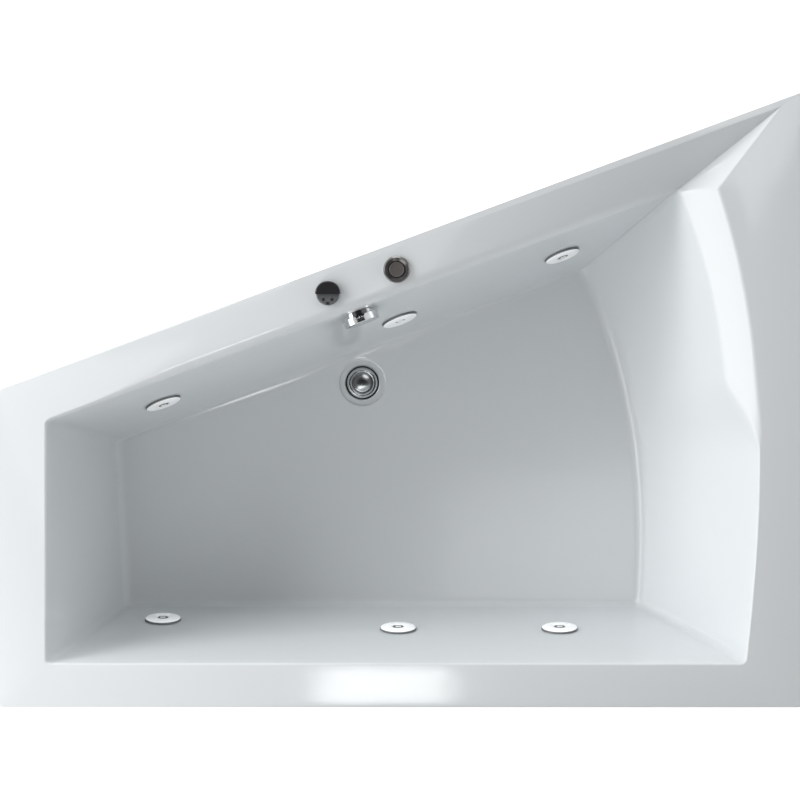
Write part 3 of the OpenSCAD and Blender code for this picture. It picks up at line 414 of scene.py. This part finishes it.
def cornerPoint(k, i, s):  # the corner at the end of side i
    a, c = trimmedPoint(k, i, 1), trimmedPoint(k, (i + 1) % 4, 0)
    atLow = k == ledge and i == wideEnd
    b = lowCorner.copy() if atLow else atLevel(outlines[k][(i + 1) % 4], levels[k])
    share = bath["tipShare"]
    if i == wideEnd and k in (outer, lip):
        m = b - Vector((0, bath["cornerR"][k], 0))
        return a.lerp(m, s / share) if s < share else bend(m, b, c, (s - share) / (1 - share))
    if i == wideEnd and k == land:
        return a.lerp(tip, s / share) if s < share else tip.lerp(c, (s - share) / (1 - share))
    return bend(a, b, c, s)


def roundAt(a, b, c, d, n):
    p = b + (a - b).normalized() * min(d, legShare * (a - b).length)
    q = b + (c - b).normalized() * min(d, legShare * (c - b).length)
    return [bend(p, b, q, i / n) for i in range(n + 1)]


def seatPoint(p, r, z):  # on a circle round the waste, in the direction of p
    w = (Vector((p.x, p.y)) - Vector(bath["waste"])).normalized() * r
    return Vector((bath["waste"][0] + w.x, bath["waste"][1] + w.y, z))


def shellSection(i, s, isCorner):  # one cut through the wall: its face, then its back
    spot = cornerPoint if isCorner else trimmedPoint
    p0, p1, p2, p3, p4 = (spot(k, i, s) for k in (outer, land, ledge, foot, lip))
    dish = mixed(bath["dish"][i], bath["dish"][(i + 1) % 4], s) if isCorner else bath["dish"][i]
    out = Vector((p2.x - p3.x, p2.y - p3.y, 0)).normalized()
    seatEdge = seatPoint(p3, seat["r"] + seat["edge"], floorZ - seat["edgeDrop"])
    reach = min(folds["flatShare"], folds["flatFrom"] / (seatEdge - p3).length)
    inner = p3.lerp(seatEdge, reach)
    n = folds["wallSteps"]
    wall = [p2.lerp(p3, w / n) + out * dish * 4 * w / n * (1 - w / n) for w in range(1, n)]
    footSteps = folds["footSteps"]
    bottom = roundAt(wall[-1], p3, inner, folds["footR"], footSteps)
    foldR, fade = folds["ledgeR"], band(p1.y)
    if i == slantedSide:
        foldR += folds["slantMore"]
    elif i == wideEnd and not isCorner:
        foldR += folds["bandMore"] * fade * (1 - fade)
    edge = atLevel(p0, rimZ - bath["lip"])
    face = [edge] + roundAt(edge, p0, p1, folds["edgeR"], folds["edgeSteps"])
    face += roundAt(p0, p1, p2, folds["landR"], folds["landSteps"])
    face += roundAt(p1, p2, wall[0], foldR, folds["ledgeSteps"])
    face += wall + bottom + [
        inner, inner.lerp(seatEdge, 0.5), seatEdge,
        seatPoint(inner, seat["r"] + seat["round"], floorZ - seat["roundDrop"]),
        seatPoint(inner, seat["r"], floorZ - seat["drop"])]
    under = floorZ - folds["under"]
    back = [seatPoint(inner, seat["r"] + seat["backIn"], floorZ - seat["drop"] - thick),
            seatPoint(inner, seat["r"] + seat["backOut"], under), atLevel(inner, under)]
    for n in range(footSteps, -1, -1):
        turn = math.radians(n / footSteps * 90)
        drop = Vector((0, 0, (bottom[n].z - under) * math.sin(turn)))
        back.append(bottom[n] + out * thick * math.cos(turn) - drop)
    back += [w + out * thick for w in reversed(wall)]
    down = Vector((0, 0, thick * folds["rimDown"]))
    back += [p2 + out * thick * folds["rimOut"] - down, p1 - down, p4,
             atLevel(p4, rimZ - bath["lip"])]
    return face, back


# where the fittings sit: X or U along the bath, and the depth below the rim or V on the ledge
def frontWall(x, d):
    lean = math.atan((bath["footFrontY"] - frontY) / bath["depth"])
    return (Vector((x, mixed(frontY, bath["footFrontY"], d / bath["depth"]), rimZ - d)),
            Vector((0, math.cos(lean), math.sin(lean))))


def backWall(u, d):
    topV = bath["ledge"] + bath["ledgeMore"] * (u - narrowU) / (lowU - narrowU)
    deep = bath["depth"] - sink(u)
    lean = math.atan((bath["footV"] - topV) / deep)
    return (slant(u, mixed(topV, bath["footV"], (d - sink(u)) / deep), rimZ - d),
            Vector((math.sin(slantA) * math.cos(lean), -math.cos(slantA) * math.cos(lean),
                    math.sin(lean))))


def ledgeTop(u, v):
    fall = sink(u) / (bath["ledge"] - bath["strip"])
    tilt = math.atan(fall)
    return (slant(u, v, rimZ - fall * (v - bath["strip"])),
            Vector((math.sin(slantA) * math.sin(tilt), -math.cos(slantA) * math.sin(tilt),
                    math.cos(tilt))))


jetSpots = [frontWall(-523, 323), frontWall(-4, 252), frontWall(349, 252),
            backWall(304, 221), backWall(1231, 233)]
suctionSpot, overflowSpot = backWall(850, 262), backWall(772, 70)
airSpot, buttonSpot = ledgeTop(725, 51.5), ledgeTop(879, 54)
holes = {"wall": {"r": 25, "deep": 60}, "ledge": {"r": 17, "deep": 40},
         "waste": {"r": 26, "deep": 60}, "sides": 64}


def spotMatrix(spot):  # own Z into the basin, own X down the wall
    point, n = spot
    return (Matrix.Translation(point * mm) @ Matrix.Rotation(math.atan2(n.y, n.x), 4, "Z")
            @ Matrix.Rotation(math.acos(n.z), 4, "Y"))


def newObject(name, mesh, material=None):
    obj = bpy.data.objects.new(name, mesh)
    scene.collection.objects.link(obj)
    if material:
        mesh.materials.append(material)
    return obj


def buildShell():
    stations = []
    for i, (sideN, cornerN) in enumerate(zip(shellSteps["sides"], shellSteps["corners"])):
        stations += [(i, n / sideN, False) for n in range(sideN)]
        stations += [(i, n / cornerN, True) for n in range(cornerN)]
    rows = [shellSection(*station) for station in stations]
    faceN, n = len(rows[0][0]), len(rows[0][0]) + len(rows[0][1])
    rimN = 3  # the last points of the back lie under the rim, where the acrylic shows
    bm = bmesh.new()
    verts = [[bm.verts.new(p * mm) for p in face + back] for face, back in rows]
    plugTop = floorZ - seat["drop"]
    middle = [bm.verts.new(Vector((*bath["waste"], z)) * mm) for z in (plugTop, plugTop - thick)]
    for a, b in zip(verts, verts[1:] + verts[:1]):
        for j in range(n):
            k = (j + 1) % n
            if j == faceN - 1:
                bm.faces.new((b[j], a[j], middle[0]))
                bm.faces.new((a[k], b[k], middle[1]))
            else:
                face = bm.faces.new((a[k], b[k], b[j], a[j]))
                face.material_index = 1 if faceN <= j < n - rimN else 0
    bm.normal_update()
    bmesh.ops.recalc_face_normals(bm, faces=bm.faces)
    mesh = bpy.data.meshes.new("bath shell")
    bm.to_mesh(mesh)
    bm.free()
    return mesh


def buildCutters():
    wasteMiddle = Matrix.Translation([c * mm for c in (*bath["waste"], floorZ)])
    cuts = [(spotMatrix(spot), holes["wall"]) for spot in jetSpots + [suctionSpot, overflowSpot]]
    cuts += [(spotMatrix(spot), holes["ledge"]) for spot in (airSpot, buttonSpot)]
    cuts.append((wasteMiddle, holes["waste"]))
    bm = bmesh.new()
    for matrix, hole in cuts:
        bmesh.ops.create_cone(bm, cap_ends=True, segments=holes["sides"], radius1=hole["r"] * mm,
                              radius2=hole["r"] * mm, depth=hole["deep"] * mm, matrix=matrix)
    mesh = bpy.data.meshes.new("cutters")
    bm.to_mesh(mesh)
    bm.free()
    return mesh


shell = newObject("shell", buildShell(), finishes["acrylic"])
shell.data.materials.append(makeBacking())
cutters = newObject("cutters", buildCutters())
cut = shell.modifiers.new("holes", "BOOLEAN")
cut.object, cut.operation, cut.solver = cutters, "DIFFERENCE", "EXACT"
bpy.context.view_layer.update()
evaluated = shell.evaluated_get(bpy.context.evaluated_depsgraph_get())
shellMesh = bpy.data.meshes.new_from_object(evaluated)
shell.modifiers.clear()
shell.data = shellMesh
bpy.data.objects.remove(cutters)
shellMesh.shade_smooth()
shellMesh.set_sharp_from_angle(angle=math.radians(folds["sharp"]))
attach(shell, "bath")
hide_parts("tub_shell")
print("shell built with", len(shellMesh.polygons), "faces")

# jets: pale fins over a ball painted dark as the shade of the shaded hole, and pale faces with a
# grey edge painted as the shade of the gap against the wall; the tops of these painted shades on
# the ball and on the edge are in millimetres above the wall
jetTonesAndShade = {"face": "#eceeef", "edge": "#5a5d5f", "edgeShadeTop": 4.6,
            "fin": "#f0f2f3", "ballShade": "#484b4d", "ballShadeTop": 7.2}
for i, spot in enumerate(jetSpots, 1):
    dress(f"jet_nozzle_{i}", makeTwoShotOrPaintedShade(f"pale ABS over painted dark shade {i}", jetTonesAndShade["fin"],
                                         jetTonesAndShade["ballShade"], spot, jetTonesAndShade["ballShadeTop"]))
    dress(f"jet_ring_{i}", makeTwoShotOrPaintedShade(f"pale ABS with painted grey shade {i}", jetTonesAndShade["face"],
                                       jetTonesAndShade["edge"], spot, jetTonesAndShade["edgeShadeTop"]))
# the suction cover's dish and its edge against the wall lie below that level and take the painted
# grey shade
dress("suction_cover", makeTwoShotOrPaintedShade("pale ABS with painted grey shade", jetTonesAndShade["face"], jetTonesAndShade["edge"],
                                   suctionSpot, jetTonesAndShade["edgeShadeTop"]))
print("two tones on", 2 * len(jetSpots) + 1, "jet pieces")

# the three that are handled: a duller knob, a graphite button, and a black cap on a graphite base
handled = {"knob": "#d6d8da", "knobRough": (0.14, 0.2), "button": "#625e5c",
           "cap": "#2b2b2d", "base": "#6a6d6f", "baseTop": 9.8}
dress("overflow_knob", makePlating("handled chrome", handled["knob"], *handled["knobRough"]))
dress("button_cap", makeMoulded("graphite ABS", handled["button"], 0.4, 0.1))
dress("air_knob", makeTwoShotOrPaintedShade("black and graphite ABS", handled["cap"], handled["base"],
                              airSpot, handled["baseTop"]))
print("knobs and button finished")

# waste plug: spun and plated, a round ring about a shallow dish that catches the light
# radii, and heights above its seat, in millimetres
plug = {"seat": 9.6, "stemR": 4.0, "skirt": [(24, 3.8), (33, 4.4), (33.8, 5.0)],
        "ringOut": 34, "ringIn": 22.6, "crest": 9.6, "crown": 3.6, "ringSteps": 12,
        "groove": [(21.8, 5.9), (21.4, 7.4), (20.9, 8.9), (20.3, 9.4)],
        "dishR": 19.5, "lip": 9.3, "dishLow": 5.6, "dishSteps": 10, "sides": 72, "sharp": 32}


def plugProfile(stemLow):  # from the stem's foot, round the ring and down to the dish's middle
    ringN, dishN = plug["ringSteps"], plug["dishSteps"]
    stem = [(plug["stemR"], stemLow), (plug["stemR"], plug["skirt"][0][1])]
    ring = [(mixed(plug["ringOut"], plug["ringIn"], t / ringN),
             plug["crest"] - plug["crown"] * (2 * t / ringN - 1) ** 2) for t in range(ringN + 1)]
    dish = [(plug["dishR"] * (1 - t / dishN),
             mixed(plug["dishLow"], plug["lip"], (1 - t / dishN) ** 2)) for t in range(dishN)]
    return stem + plug["skirt"] + ring + plug["groove"] + dish


def buildPlug():
    low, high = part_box("waste_plug")
    seatZ, sides = high[2] * 1000 - plug["seat"], plug["sides"]
    turns = [2 * math.pi * j / sides for j in range(sides)]
    profile = plugProfile(low[2] * 1000 - seatZ)
    spots = [Vector((*bath["waste"], seatZ + z)) for r, z in profile]
    bm = bmesh.new()
    rows = [[bm.verts.new((p + Vector((r * math.cos(a), r * math.sin(a), 0))) * mm) for a in turns]
            for p, (r, z) in zip(spots, profile)]
    ends = [bm.verts.new(spots[0] * mm),
            bm.verts.new(Vector((*bath["waste"], seatZ + plug["dishLow"])) * mm)]
    for j in range(sides):
        k = (j + 1) % sides
        bm.faces.new((ends[0], rows[0][k], rows[0][j]))
        bm.faces.new((ends[1], rows[-1][j], rows[-1][k]))
        for a, b in zip(rows, rows[1:]):
            bm.faces.new((a[j], a[k], b[k], b[j]))
    bmesh.ops.recalc_face_normals(bm, faces=bm.faces)
    mesh = bpy.data.meshes.new("waste plug")
    bm.to_mesh(mesh)
    bm.free()
    mesh.shade_smooth()
    mesh.set_sharp_from_angle(angle=math.radians(plug["sharp"]))
    return mesh


plugPiece = newObject("wastePlug", buildPlug(), makePlating("worn chrome", "#bcbfc1", 0.16, 0.22))
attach(plugPiece, "plug")
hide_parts("waste_plug")
print("waste plug spun with", len(plugPiece.data.polygons), "faces")

# hoses: the routes of the frame's hoses, swept round, with the ribs that let them bend
# a jet's water ports and air vents, from the middle of its fitting, in millimetres
port = {"x": 0, "out": [30, 76], "z": -45}
vent = {"x": -31, "out": [26, 64], "z": -38}
ribShape = [0.0, 0.3, 1.0, 1.0, 0.3]  # the rib's height over one pitch
bendSteps = 12
hoseSharp = 60  # degrees


def onSpot(spot, *offset):
    return (spotMatrix(spot) @ (Vector(offset) * mm)) * 1000


def leaving(jet, kind, side):  # out of jet number 1 to 5, to the side 1 or -1
    return [onSpot(jetSpots[jet - 1], kind["x"], side * out, kind["z"]) for out in kind["out"]]


def reaching(jet, kind, side):
    return leaving(jet, kind, side)[::-1]


def sweepFrames(route, bendLength):
    # place, length so far and two cross directions, carried along without twist
    points = [Vector(p) for p in route]
    path = [points[0]]
    for a, b, c in zip(points, points[1:], points[2:]):
        path += roundAt(a, b, c, bendLength, bendSteps)
    path.append(points[-1])
    frames, length, up = [], 0.0, None
    for i, p in enumerate(path):
        ahead = (path[min(i + 1, len(path) - 1)] - path[max(i - 1, 0)]).normalized()
        up = up or ahead.orthogonal()
        up = (up - ahead * up.dot(ahead)).normalized()
        length += (p - path[i - 1]).length if i else 0.0
        frames.append((length, p, up, ahead.cross(up)))
    return frames


def framePoint(frames, lengths, s, angle, r):
    i = max(0, min(bisect.bisect_right(lengths, s) - 1, len(frames) - 2))
    (start, p, up, across), (end, q, upNext, acrossNext) = frames[i], frames[i + 1]
    t = clamp((s - start) / (end - start))
    out = up.lerp(upNext, t) * math.cos(angle) + across.lerp(acrossNext, t) * math.sin(angle)
    return (p.lerp(q, t) + out.normalized() * r) * mm


def addTube(bm, frames, spec):
    n, pitch, outerR, rib = spec["sides"], spec["pitch"], spec["outer"], spec["rib"]
    lengths = [place[0] for place in frames]
    total, ramp = lengths[-1], ribShape if rib else [0.0]
    steps = len(ramp)
    made = {}

    def at(key, s, j, r):
        if key not in made:
            made[key] = bm.verts.new(framePoint(frames, lengths, s, 2 * math.pi * j / n, r))
        return made[key]

    def skin(i, j):  # rows climb one pitch on the way round, which winds the rib as a helix
        i, j = (i + steps, 0) if j == n else (i, j)
        s = pitch * (i / steps + j / n - 1)
        if s <= 0 or s >= total:
            return at(("end" if s > 0 else "start", j), total if s > 0 else 0.0, j, outerR - rib)
        return at((i, j), s, j, outerR - rib + rib * ramp[i % steps])

    for i in range(-steps, int(total / pitch * steps) + 2 * steps):
        for j in range(n):
            around = [skin(i, j), skin(i, j + 1), skin(i + 1, j + 1), skin(i + 1, j)]
            corners = list(dict.fromkeys(around))  # at the ends some fall together
            if len(corners) > 2:
                bm.faces.new(corners)
    bore = [[at(("bore", k, j), s, j, spec["inner"]) for j in range(n)]
            for k, s in enumerate(lengths)]
    for a, b in zip(bore, bore[1:]):
        for j in range(n):
            bm.faces.new((a[j], b[j], b[(j + 1) % n], a[(j + 1) % n]))
    for j in range(n):
        k = (j + 1) % n
        bm.faces.new((made["start", j], bore[0][j], bore[0][k], made["start", k]))
        bm.faces.new((made["end", k], bore[-1][k], bore[-1][j], made["end", j]))


wasteSide = {"cableZ": 102, "hoseZ": 108, "cableEnd": 52.4, "hoseEnd": 40}
cableMiddle = Vector((*bath["waste"], wasteSide["cableZ"]))
wasteU = along(cableMiddle)
wasteV = ((cableMiddle.x + halfL) * math.sin(slantA)
          - (cableMiddle.y - backY) * math.cos(slantA))
cableStop = cableMiddle - Vector((math.cos(slantA), math.sin(slantA), 0)) * wasteSide["cableEnd"]
# each run is its route and the length that a bend takes of both its legs
hoses = {
    "waterHoseFront": {
        "node": "water_hose_front", "slot": "hose", "outer": 20.0, "inner": 16.2,
        "rib": 0.8, "pitch": 8.0, "sides": 24,
        "runs": [
            ([(746, -168, 372), (746, -216, 372), (752, -420, 352), (700, -560, 340)]
             + reaching(3, port, -1), 90),
            (leaving(3, port, 1) + reaching(2, port, -1), 60),
            (leaving(2, port, 1) + reaching(1, port, -1), 60),
            (leaving(1, port, 1)
             + [(-690, -545, 268), (-772, -470, 280), (-772, -110, 360), (-700, 0, 372)]
             + reaching(4, port, -1), 60)]},
    "waterHoseBack": {
        "node": "water_hose_back", "slot": "hose", "outer": 20.0, "inner": 16.2,
        "rib": 0.8, "pitch": 8.0, "sides": 24,
        "runs": [
            ([(746, -96, 372), (746, -48, 372), (752, 220, 372), (690, 420, 368),
              slant(1470, 88, 360)] + reaching(5, port, 1), 70)]},
    "suctionHose": {
        "node": "suction_hose", "slot": "hose", "outer": 26.4, "inner": 22.2,
        "rib": 1.0, "pitch": 9.0, "sides": 28,
        "runs": [
            ([onSpot(suctionSpot, 0, 38, -38), onSpot(suctionSpot, 0, 90, -38),
              slant(1060, 96, 300), slant(1180, 98, 245), slant(1500, 100, 236),
              (700, 330, 232), (700, 0, 230), (700, -54, 230)], 80)]},
    "overflowHose": {
        "node": "overflow_hose", "slot": "grey_plastic", "outer": 19.6, "inner": 16.2,
        "rib": 1.9, "pitch": 6.0, "sides": 24,
        "runs": [
            ([onSpot(overflowSpot, 40, 0, -32), onSpot(overflowSpot, 90, 0, -32),
              onSpot(overflowSpot, 330, -45, -32), slant(wasteU, 158, wasteSide["hoseZ"]),
              slant(wasteU, wasteV - wasteSide["hoseEnd"], wasteSide["hoseZ"])], 55)]},
    "bowdenCable": {
        "node": "bowden_cable", "slot": "black_plastic", "outer": 3.6, "inner": 1.5,
        "rib": 0, "pitch": 8.0, "sides": 12,
        "runs": [
            ([onSpot(overflowSpot, 0, -44.4, -40), onSpot(overflowSpot, 0, -60, -40),
              onSpot(overflowSpot, 36, -78, -38), onSpot(overflowSpot, 330, -78, -30),
              slant(650, 196, wasteSide["cableZ"]), slant(650, wasteV, wasteSide["cableZ"]),
              cableStop], 40)]},
    "airHose": {
        "node": "air_hose", "slot": "hose", "outer": 8.0, "inner": 5.65,
        "rib": 0, "pitch": 12.0, "sides": 16,
        "runs": [
            ([onSpot(airSpot, 0, -24, -50), onSpot(airSpot, 0, -60, -50), slant(560, 60, 500)]
             + reaching(4, vent, 1), 40),
            (leaving(4, vent, -1)
             + [slant(120, 70, 420), (-772, -60, 410), (-772, -500, 330), (-700, -548, 312)]
             + reaching(1, vent, 1), 50),
            (leaving(1, vent, -1) + reaching(2, vent, 1), 60),
            (leaving(2, vent, -1) + reaching(3, vent, 1), 60),
            ([onSpot(airSpot, 0, 0, -70), onSpot(airSpot, 0, 0, -108), slant(800, 46, 460),
              slant(1060, 62, 425)] + reaching(5, vent, -1), 40)]},
    "buttonTube": {
        "node": "button_tube", "slot": "hose", "outer": 4.0, "inner": 2.7,
        "rib": 0, "pitch": 12.0, "sides": 12,
        "runs": [
            ([onSpot(buttonSpot, 0, 18, -36), onSpot(buttonSpot, 0, 46, -36),
              slant(1000, 36, 552), slant(1560, 36, 552), (806, 560, 540), (812, 300, 480),
              (812, -200, 400), (790, -235, 317.5), (752, -235, 317.5)], 45)]},
}
for name, spec in hoses.items():
    bm = bmesh.new()
    reachMm = []
    for route, bendLength in spec["runs"]:
        frames = sweepFrames(route, bendLength)
        addTube(bm, frames, spec)
        reachMm.append(round(frames[-1][0]))
    bmesh.ops.recalc_face_normals(bm, faces=bm.faces)
    hoseMesh = bpy.data.meshes.new(name)
    bm.to_mesh(hoseMesh)
    bm.free()
    hoseMesh.shade_smooth()
    hoseMesh.set_sharp_from_angle(angle=math.radians(hoseSharp))
    hose = newObject(name, hoseMesh, finishes[spec["slot"]])
    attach(hose, "bath")
    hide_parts(spec["node"])
    print(name, "swept over", reachMm, "mm with", len(hoseMesh.polygons), "faces")

# studio floor: pale, reads white to the eye and in reflections, and still takes the shadow
# near the bath the lamps give the rest of the white; it lies just under the feet
studioFloor = {"half": 40, "z": -0.4 * mm, "colour": "#e4e4e4", "near": 2.0, "far": 8.0,
               "nearGlow": 0.7, "farGlow": 1.0}
floorLook, floorTree = newMaterial("studio floor")
floorRays = addNode(floorTree, "ShaderNodeLightPath")
matte = addNode(floorTree, "ShaderNodeBsdfDiffuse", {"Color": linear(studioFloor["colour"])})
direct = addNode(floorTree, "ShaderNodeMath", {"operation": "MAXIMUM"},
                 {0: floorRays.outputs["Is Camera Ray"], 1: floorRays.outputs["Is Glossy Ray"]})
seen = addNode(floorTree, "ShaderNodeMath", {"operation": "MAXIMUM"},
               {0: direct.outputs[0], 1: floorRays.outputs["Is Transmission Ray"]})
floorPlace = addNode(floorTree, "ShaderNodeTexCoord")
away = addNode(floorTree, "ShaderNodeVectorMath", {"operation": "LENGTH"},
               {0: floorPlace.outputs["Object"]})
share = addNode(floorTree, "ShaderNodeMapRange",
                {"From Min": studioFloor["near"], "From Max": studioFloor["far"],
                 "To Min": studioFloor["nearGlow"], "To Max": studioFloor["farGlow"]},
                {"Value": away.outputs["Value"]})
strength = addNode(floorTree, "ShaderNodeMath", {"operation": "MULTIPLY"},
                   {0: seen.outputs[0], 1: share.outputs["Result"]})
glow = addNode(floorTree, "ShaderNodeEmission", {"Color": (1, 1, 1, 1)},
               {"Strength": strength.outputs[0]})
lit = addNode(floorTree, "ShaderNodeAddShader", links={0: matte.outputs[0], 1: glow.outputs[0]})
side = addNode(floorTree, "ShaderNodeNewGeometry")  # clear from below, to show the underside
clear = addNode(floorTree, "ShaderNodeBsdfTransparent")
twoSided = addNode(floorTree, "ShaderNodeMixShader",
                   links={0: side.outputs["Backfacing"], 1: lit.outputs[0], 2: clear.outputs[0]})
closeMaterial(floorTree, twoSided)
half = studioFloor["half"]
floorCorners = [(-half, -half), (half, -half), (half, half), (-half, half)]
floorMesh = bpy.data.meshes.new("floor")
floorMesh.from_pydata([(x, y, studioFloor["z"]) for x, y in floorCorners], [], [(0, 1, 2, 3)])
floor = newObject("floor", floorMesh, floorLook)

# studio room: white walls to the eye and in the plating, but little light from them, and
# darker overhead for the plating's deep tones; heights are on a sphere of radius 1
room = {"colour": "#ffffff", "dim": 0.16, "overhead": 0.02, "overheadFrom": 0.86,
        "overheadTo": 0.96, "wallsFull": 0.25, "wallsEnd": 0.5}
world = bpy.data.worlds.new("studio")
scene.world = world
world.use_nodes = True
roomTree = world.node_tree
roomTree.nodes.clear()
sky = addNode(roomTree, "ShaderNodeTexCoord")
height = addNode(roomTree, "ShaderNodeSeparateXYZ", links={0: sky.outputs["Generated"]})
dim = addNode(roomTree, "ShaderNodeMapRange",
              {"From Min": room["overheadFrom"], "From Max": room["overheadTo"],
               "To Min": room["dim"], "To Max": room["overhead"]},
              {"Value": height.outputs["Z"]})
walls = addNode(roomTree, "ShaderNodeMapRange",
                {"From Min": room["wallsFull"], "From Max": room["wallsEnd"],
                 "To Min": 1.0, "To Max": 0.0},
                {"Value": height.outputs["Z"]})
roomRays = addNode(roomTree, "ShaderNodeLightPath")
mirrored = addNode(roomTree, "ShaderNodeMath", {"operation": "MAXIMUM"},
                   {0: roomRays.outputs["Is Glossy Ray"],
                    1: roomRays.outputs["Is Transmission Ray"]})
paleWalls = addNode(roomTree, "ShaderNodeMath", {"operation": "MULTIPLY"},
                    {0: mirrored.outputs[0], 1: walls.outputs["Result"]})
pale = addNode(roomTree, "ShaderNodeMath", {"operation": "MAXIMUM"},
               {0: roomRays.outputs["Is Camera Ray"], 1: paleWalls.outputs[0]})
power = addNode(roomTree, "ShaderNodeMix", {"data_type": "FLOAT", "B": 1.0},
                {"Factor": pale.outputs[0], "A": dim.outputs["Result"]})
backdrop = addNode(roomTree, "ShaderNodeBackground", {"Color": linear(room["colour"])},
                   {"Strength": power.outputs["Result"]})
addNode(roomTree, "ShaderNodeOutputWorld", links={"Surface": backdrop.outputs[0]})
print("studio floor and room ready")

# soft boxes round the bath, strongest at the narrow end and weakest above the rim, then small
# cards that reach only the pieces named under "only"; places and sizes in metres, powers in watts
lampTarget = (0, 0, 0.45)
knobPlace, wastePlace = (-0.08, 0.17, 0.53), (-0.0845, 0.0375, 0.17)
lamps = {
    "narrow end back": {"at": (-3.81, 2.2, 2.7), "size": (3, 1.8), "power": 114},
    "narrow end": {"at": (-4.4, 0, 2.7), "size": (3, 1.8), "power": 52.4},
    "narrow end low": {"at": (-4.4, 0, 1.3), "size": (3, 1.6), "power": 18.6},
    "behind": {"at": (0, 4.4, 2.7), "size": (3, 1.8), "power": 30.8},
    "behind low": {"at": (0, 4.4, 1.3), "size": (3, 1.6), "power": 56},
    "wide end low": {"at": (4.4, 0, 1.3), "size": (3, 1.6), "power": 50},
    "front left": {"at": (-1.5, -2.6, 3.8), "size": (2, 2), "power": 17.9},
    "front left low": {"at": (-2.2, -3.81, 1.3), "size": (3, 1.6), "power": 27.4},
    "front left near": {"at": (-1.48, -1.34, 1.5), "size": (1.2, 1), "power": 8.4},
    "narrow end near": {"at": (-2.1, 0, 1.5), "size": (1.2, 1), "power": 1.1},
    "over the back edge": {"at": (-0.1, 2.1, 4), "size": (3, 0.6), "power": 2.5},
    "slanted side strip": {"at": (0.89, -3.16, 3), "size": (0.7, 0.4), "power": 2.5},
    "front side strip": {"at": (0.5, 3.4, 2.9), "size": (1.7, 0.3), "power": 2},
    "wide end high": {"at": (3.4, 0.5, 2.9), "size": (1.6, 1), "power": 2},
    "rim left": {"at": (-1.35, 0.2, 4.2), "aim": (-1.2, 0.1, 0), "size": (0.8, 1.2),
                 "power": 4, "only": "shell"},
    "rim right": {"at": (1.35, 0.95, 4.2), "aim": (1.2, 0.85, 0), "size": (0.5, 0.9),
                  "power": 3.2, "only": "shell"},
    "rim strip": {"at": (-0.05, -1.1, 4.2), "aim": (-0.05, -1, 0), "size": (0.42, 0.5),
                  "power": 6.4, "only": "shell"},
    "basin floor": {"at": (0.5, -0.5, 4.2), "aim": (0.5, -0.5, 0), "size": (0.7, 0.5),
                    "power": 1.2, "only": "shell"},
    "front jets": {"at": (-0.1, 0.4, 1.15), "aim": (-0.1, -0.5, 0.32), "size": (1.5, 0.3),
                   "power": 9, "only": "jets"},
    "back jets": {"at": (0.1, -0.55, 1.15), "aim": (-0.05, 0.2, 0.38), "size": (1.5, 0.3),
                  "power": 5.5, "only": "jets"},
    "knob right": {"at": (1.4, 0.7, 1.75), "aim": knobPlace, "size": (0.8, 2.2),
                   "power": 4.4, "only": "knob"},
    "knob left": {"at": (-1.5, -0.35, 1.6), "aim": knobPlace, "size": (0.8, 1.8),
                  "power": 2.6, "only": "knob"},
    "over the waste": {"at": (-0.0845, 0.15, 0.448), "aim": wastePlace, "size": (0.2, 0.07),
                       "power": 0.1, "only": "plug"},
}
jetPieces = [f"jet_{kind}_{i}" for kind in ("ring", "nozzle") for i in range(1, 6)]
reached = {"jets": [nodes[name] for name in ["suction_cover"] + jetPieces],
           "knob": [nodes["overflow_knob"]], "plug": [plugPiece], "shell": [shell]}
groups = {name: bpy.data.collections.new(name) for name in reached}
for name, group in groups.items():
    for obj in reached[name]:
        group.objects.link(obj)
for name, spec in lamps.items():
    light = bpy.data.lights.new(name, "AREA")
    light.shape = "RECTANGLE"
    light.size, light.size_y = spec["size"]
    light.energy = spec["power"]
    lamp = bpy.data.objects.new(name, light)
    scene.collection.objects.link(lamp)
    if "only" in spec:
        lamp.light_linking.receiver_collection = groups[spec["only"]]
    lamp.location = spec["at"]
    ahead = Vector(spec.get("aim", lampTarget)) - Vector(spec["at"])
    lamp.rotation_euler = ahead.to_track_quat("-Z", "Y").to_euler()
print("lights:", ", ".join(lamps))

# camera straight above and far off, so the walls keep the photograph's small spread; the lens
# is set so that the picture takes in 1.68832 m at the rim, which lies 7 m below it
shot = {"at": (0, -0.001, 7.6), "toRim": 7.0, "across": 1.68832, "sensor": 36, "clipEnd": 50}
camera = bpy.data.cameras.new("camera")
camera.sensor_width = shot["sensor"]
camera.lens = shot["sensor"] * shot["toRim"] / shot["across"]
camera.clip_end = shot["clipEnd"]
cameraObject = bpy.data.objects.new("camera", camera)
scene.collection.objects.link(cameraObject)
cameraObject.location = shot["at"]
scene.camera = cameraObject
scene.view_settings.view_transform = "Standard"
print("camera", shot["at"][2], "m up with a lens of", round(camera.lens), "mm")
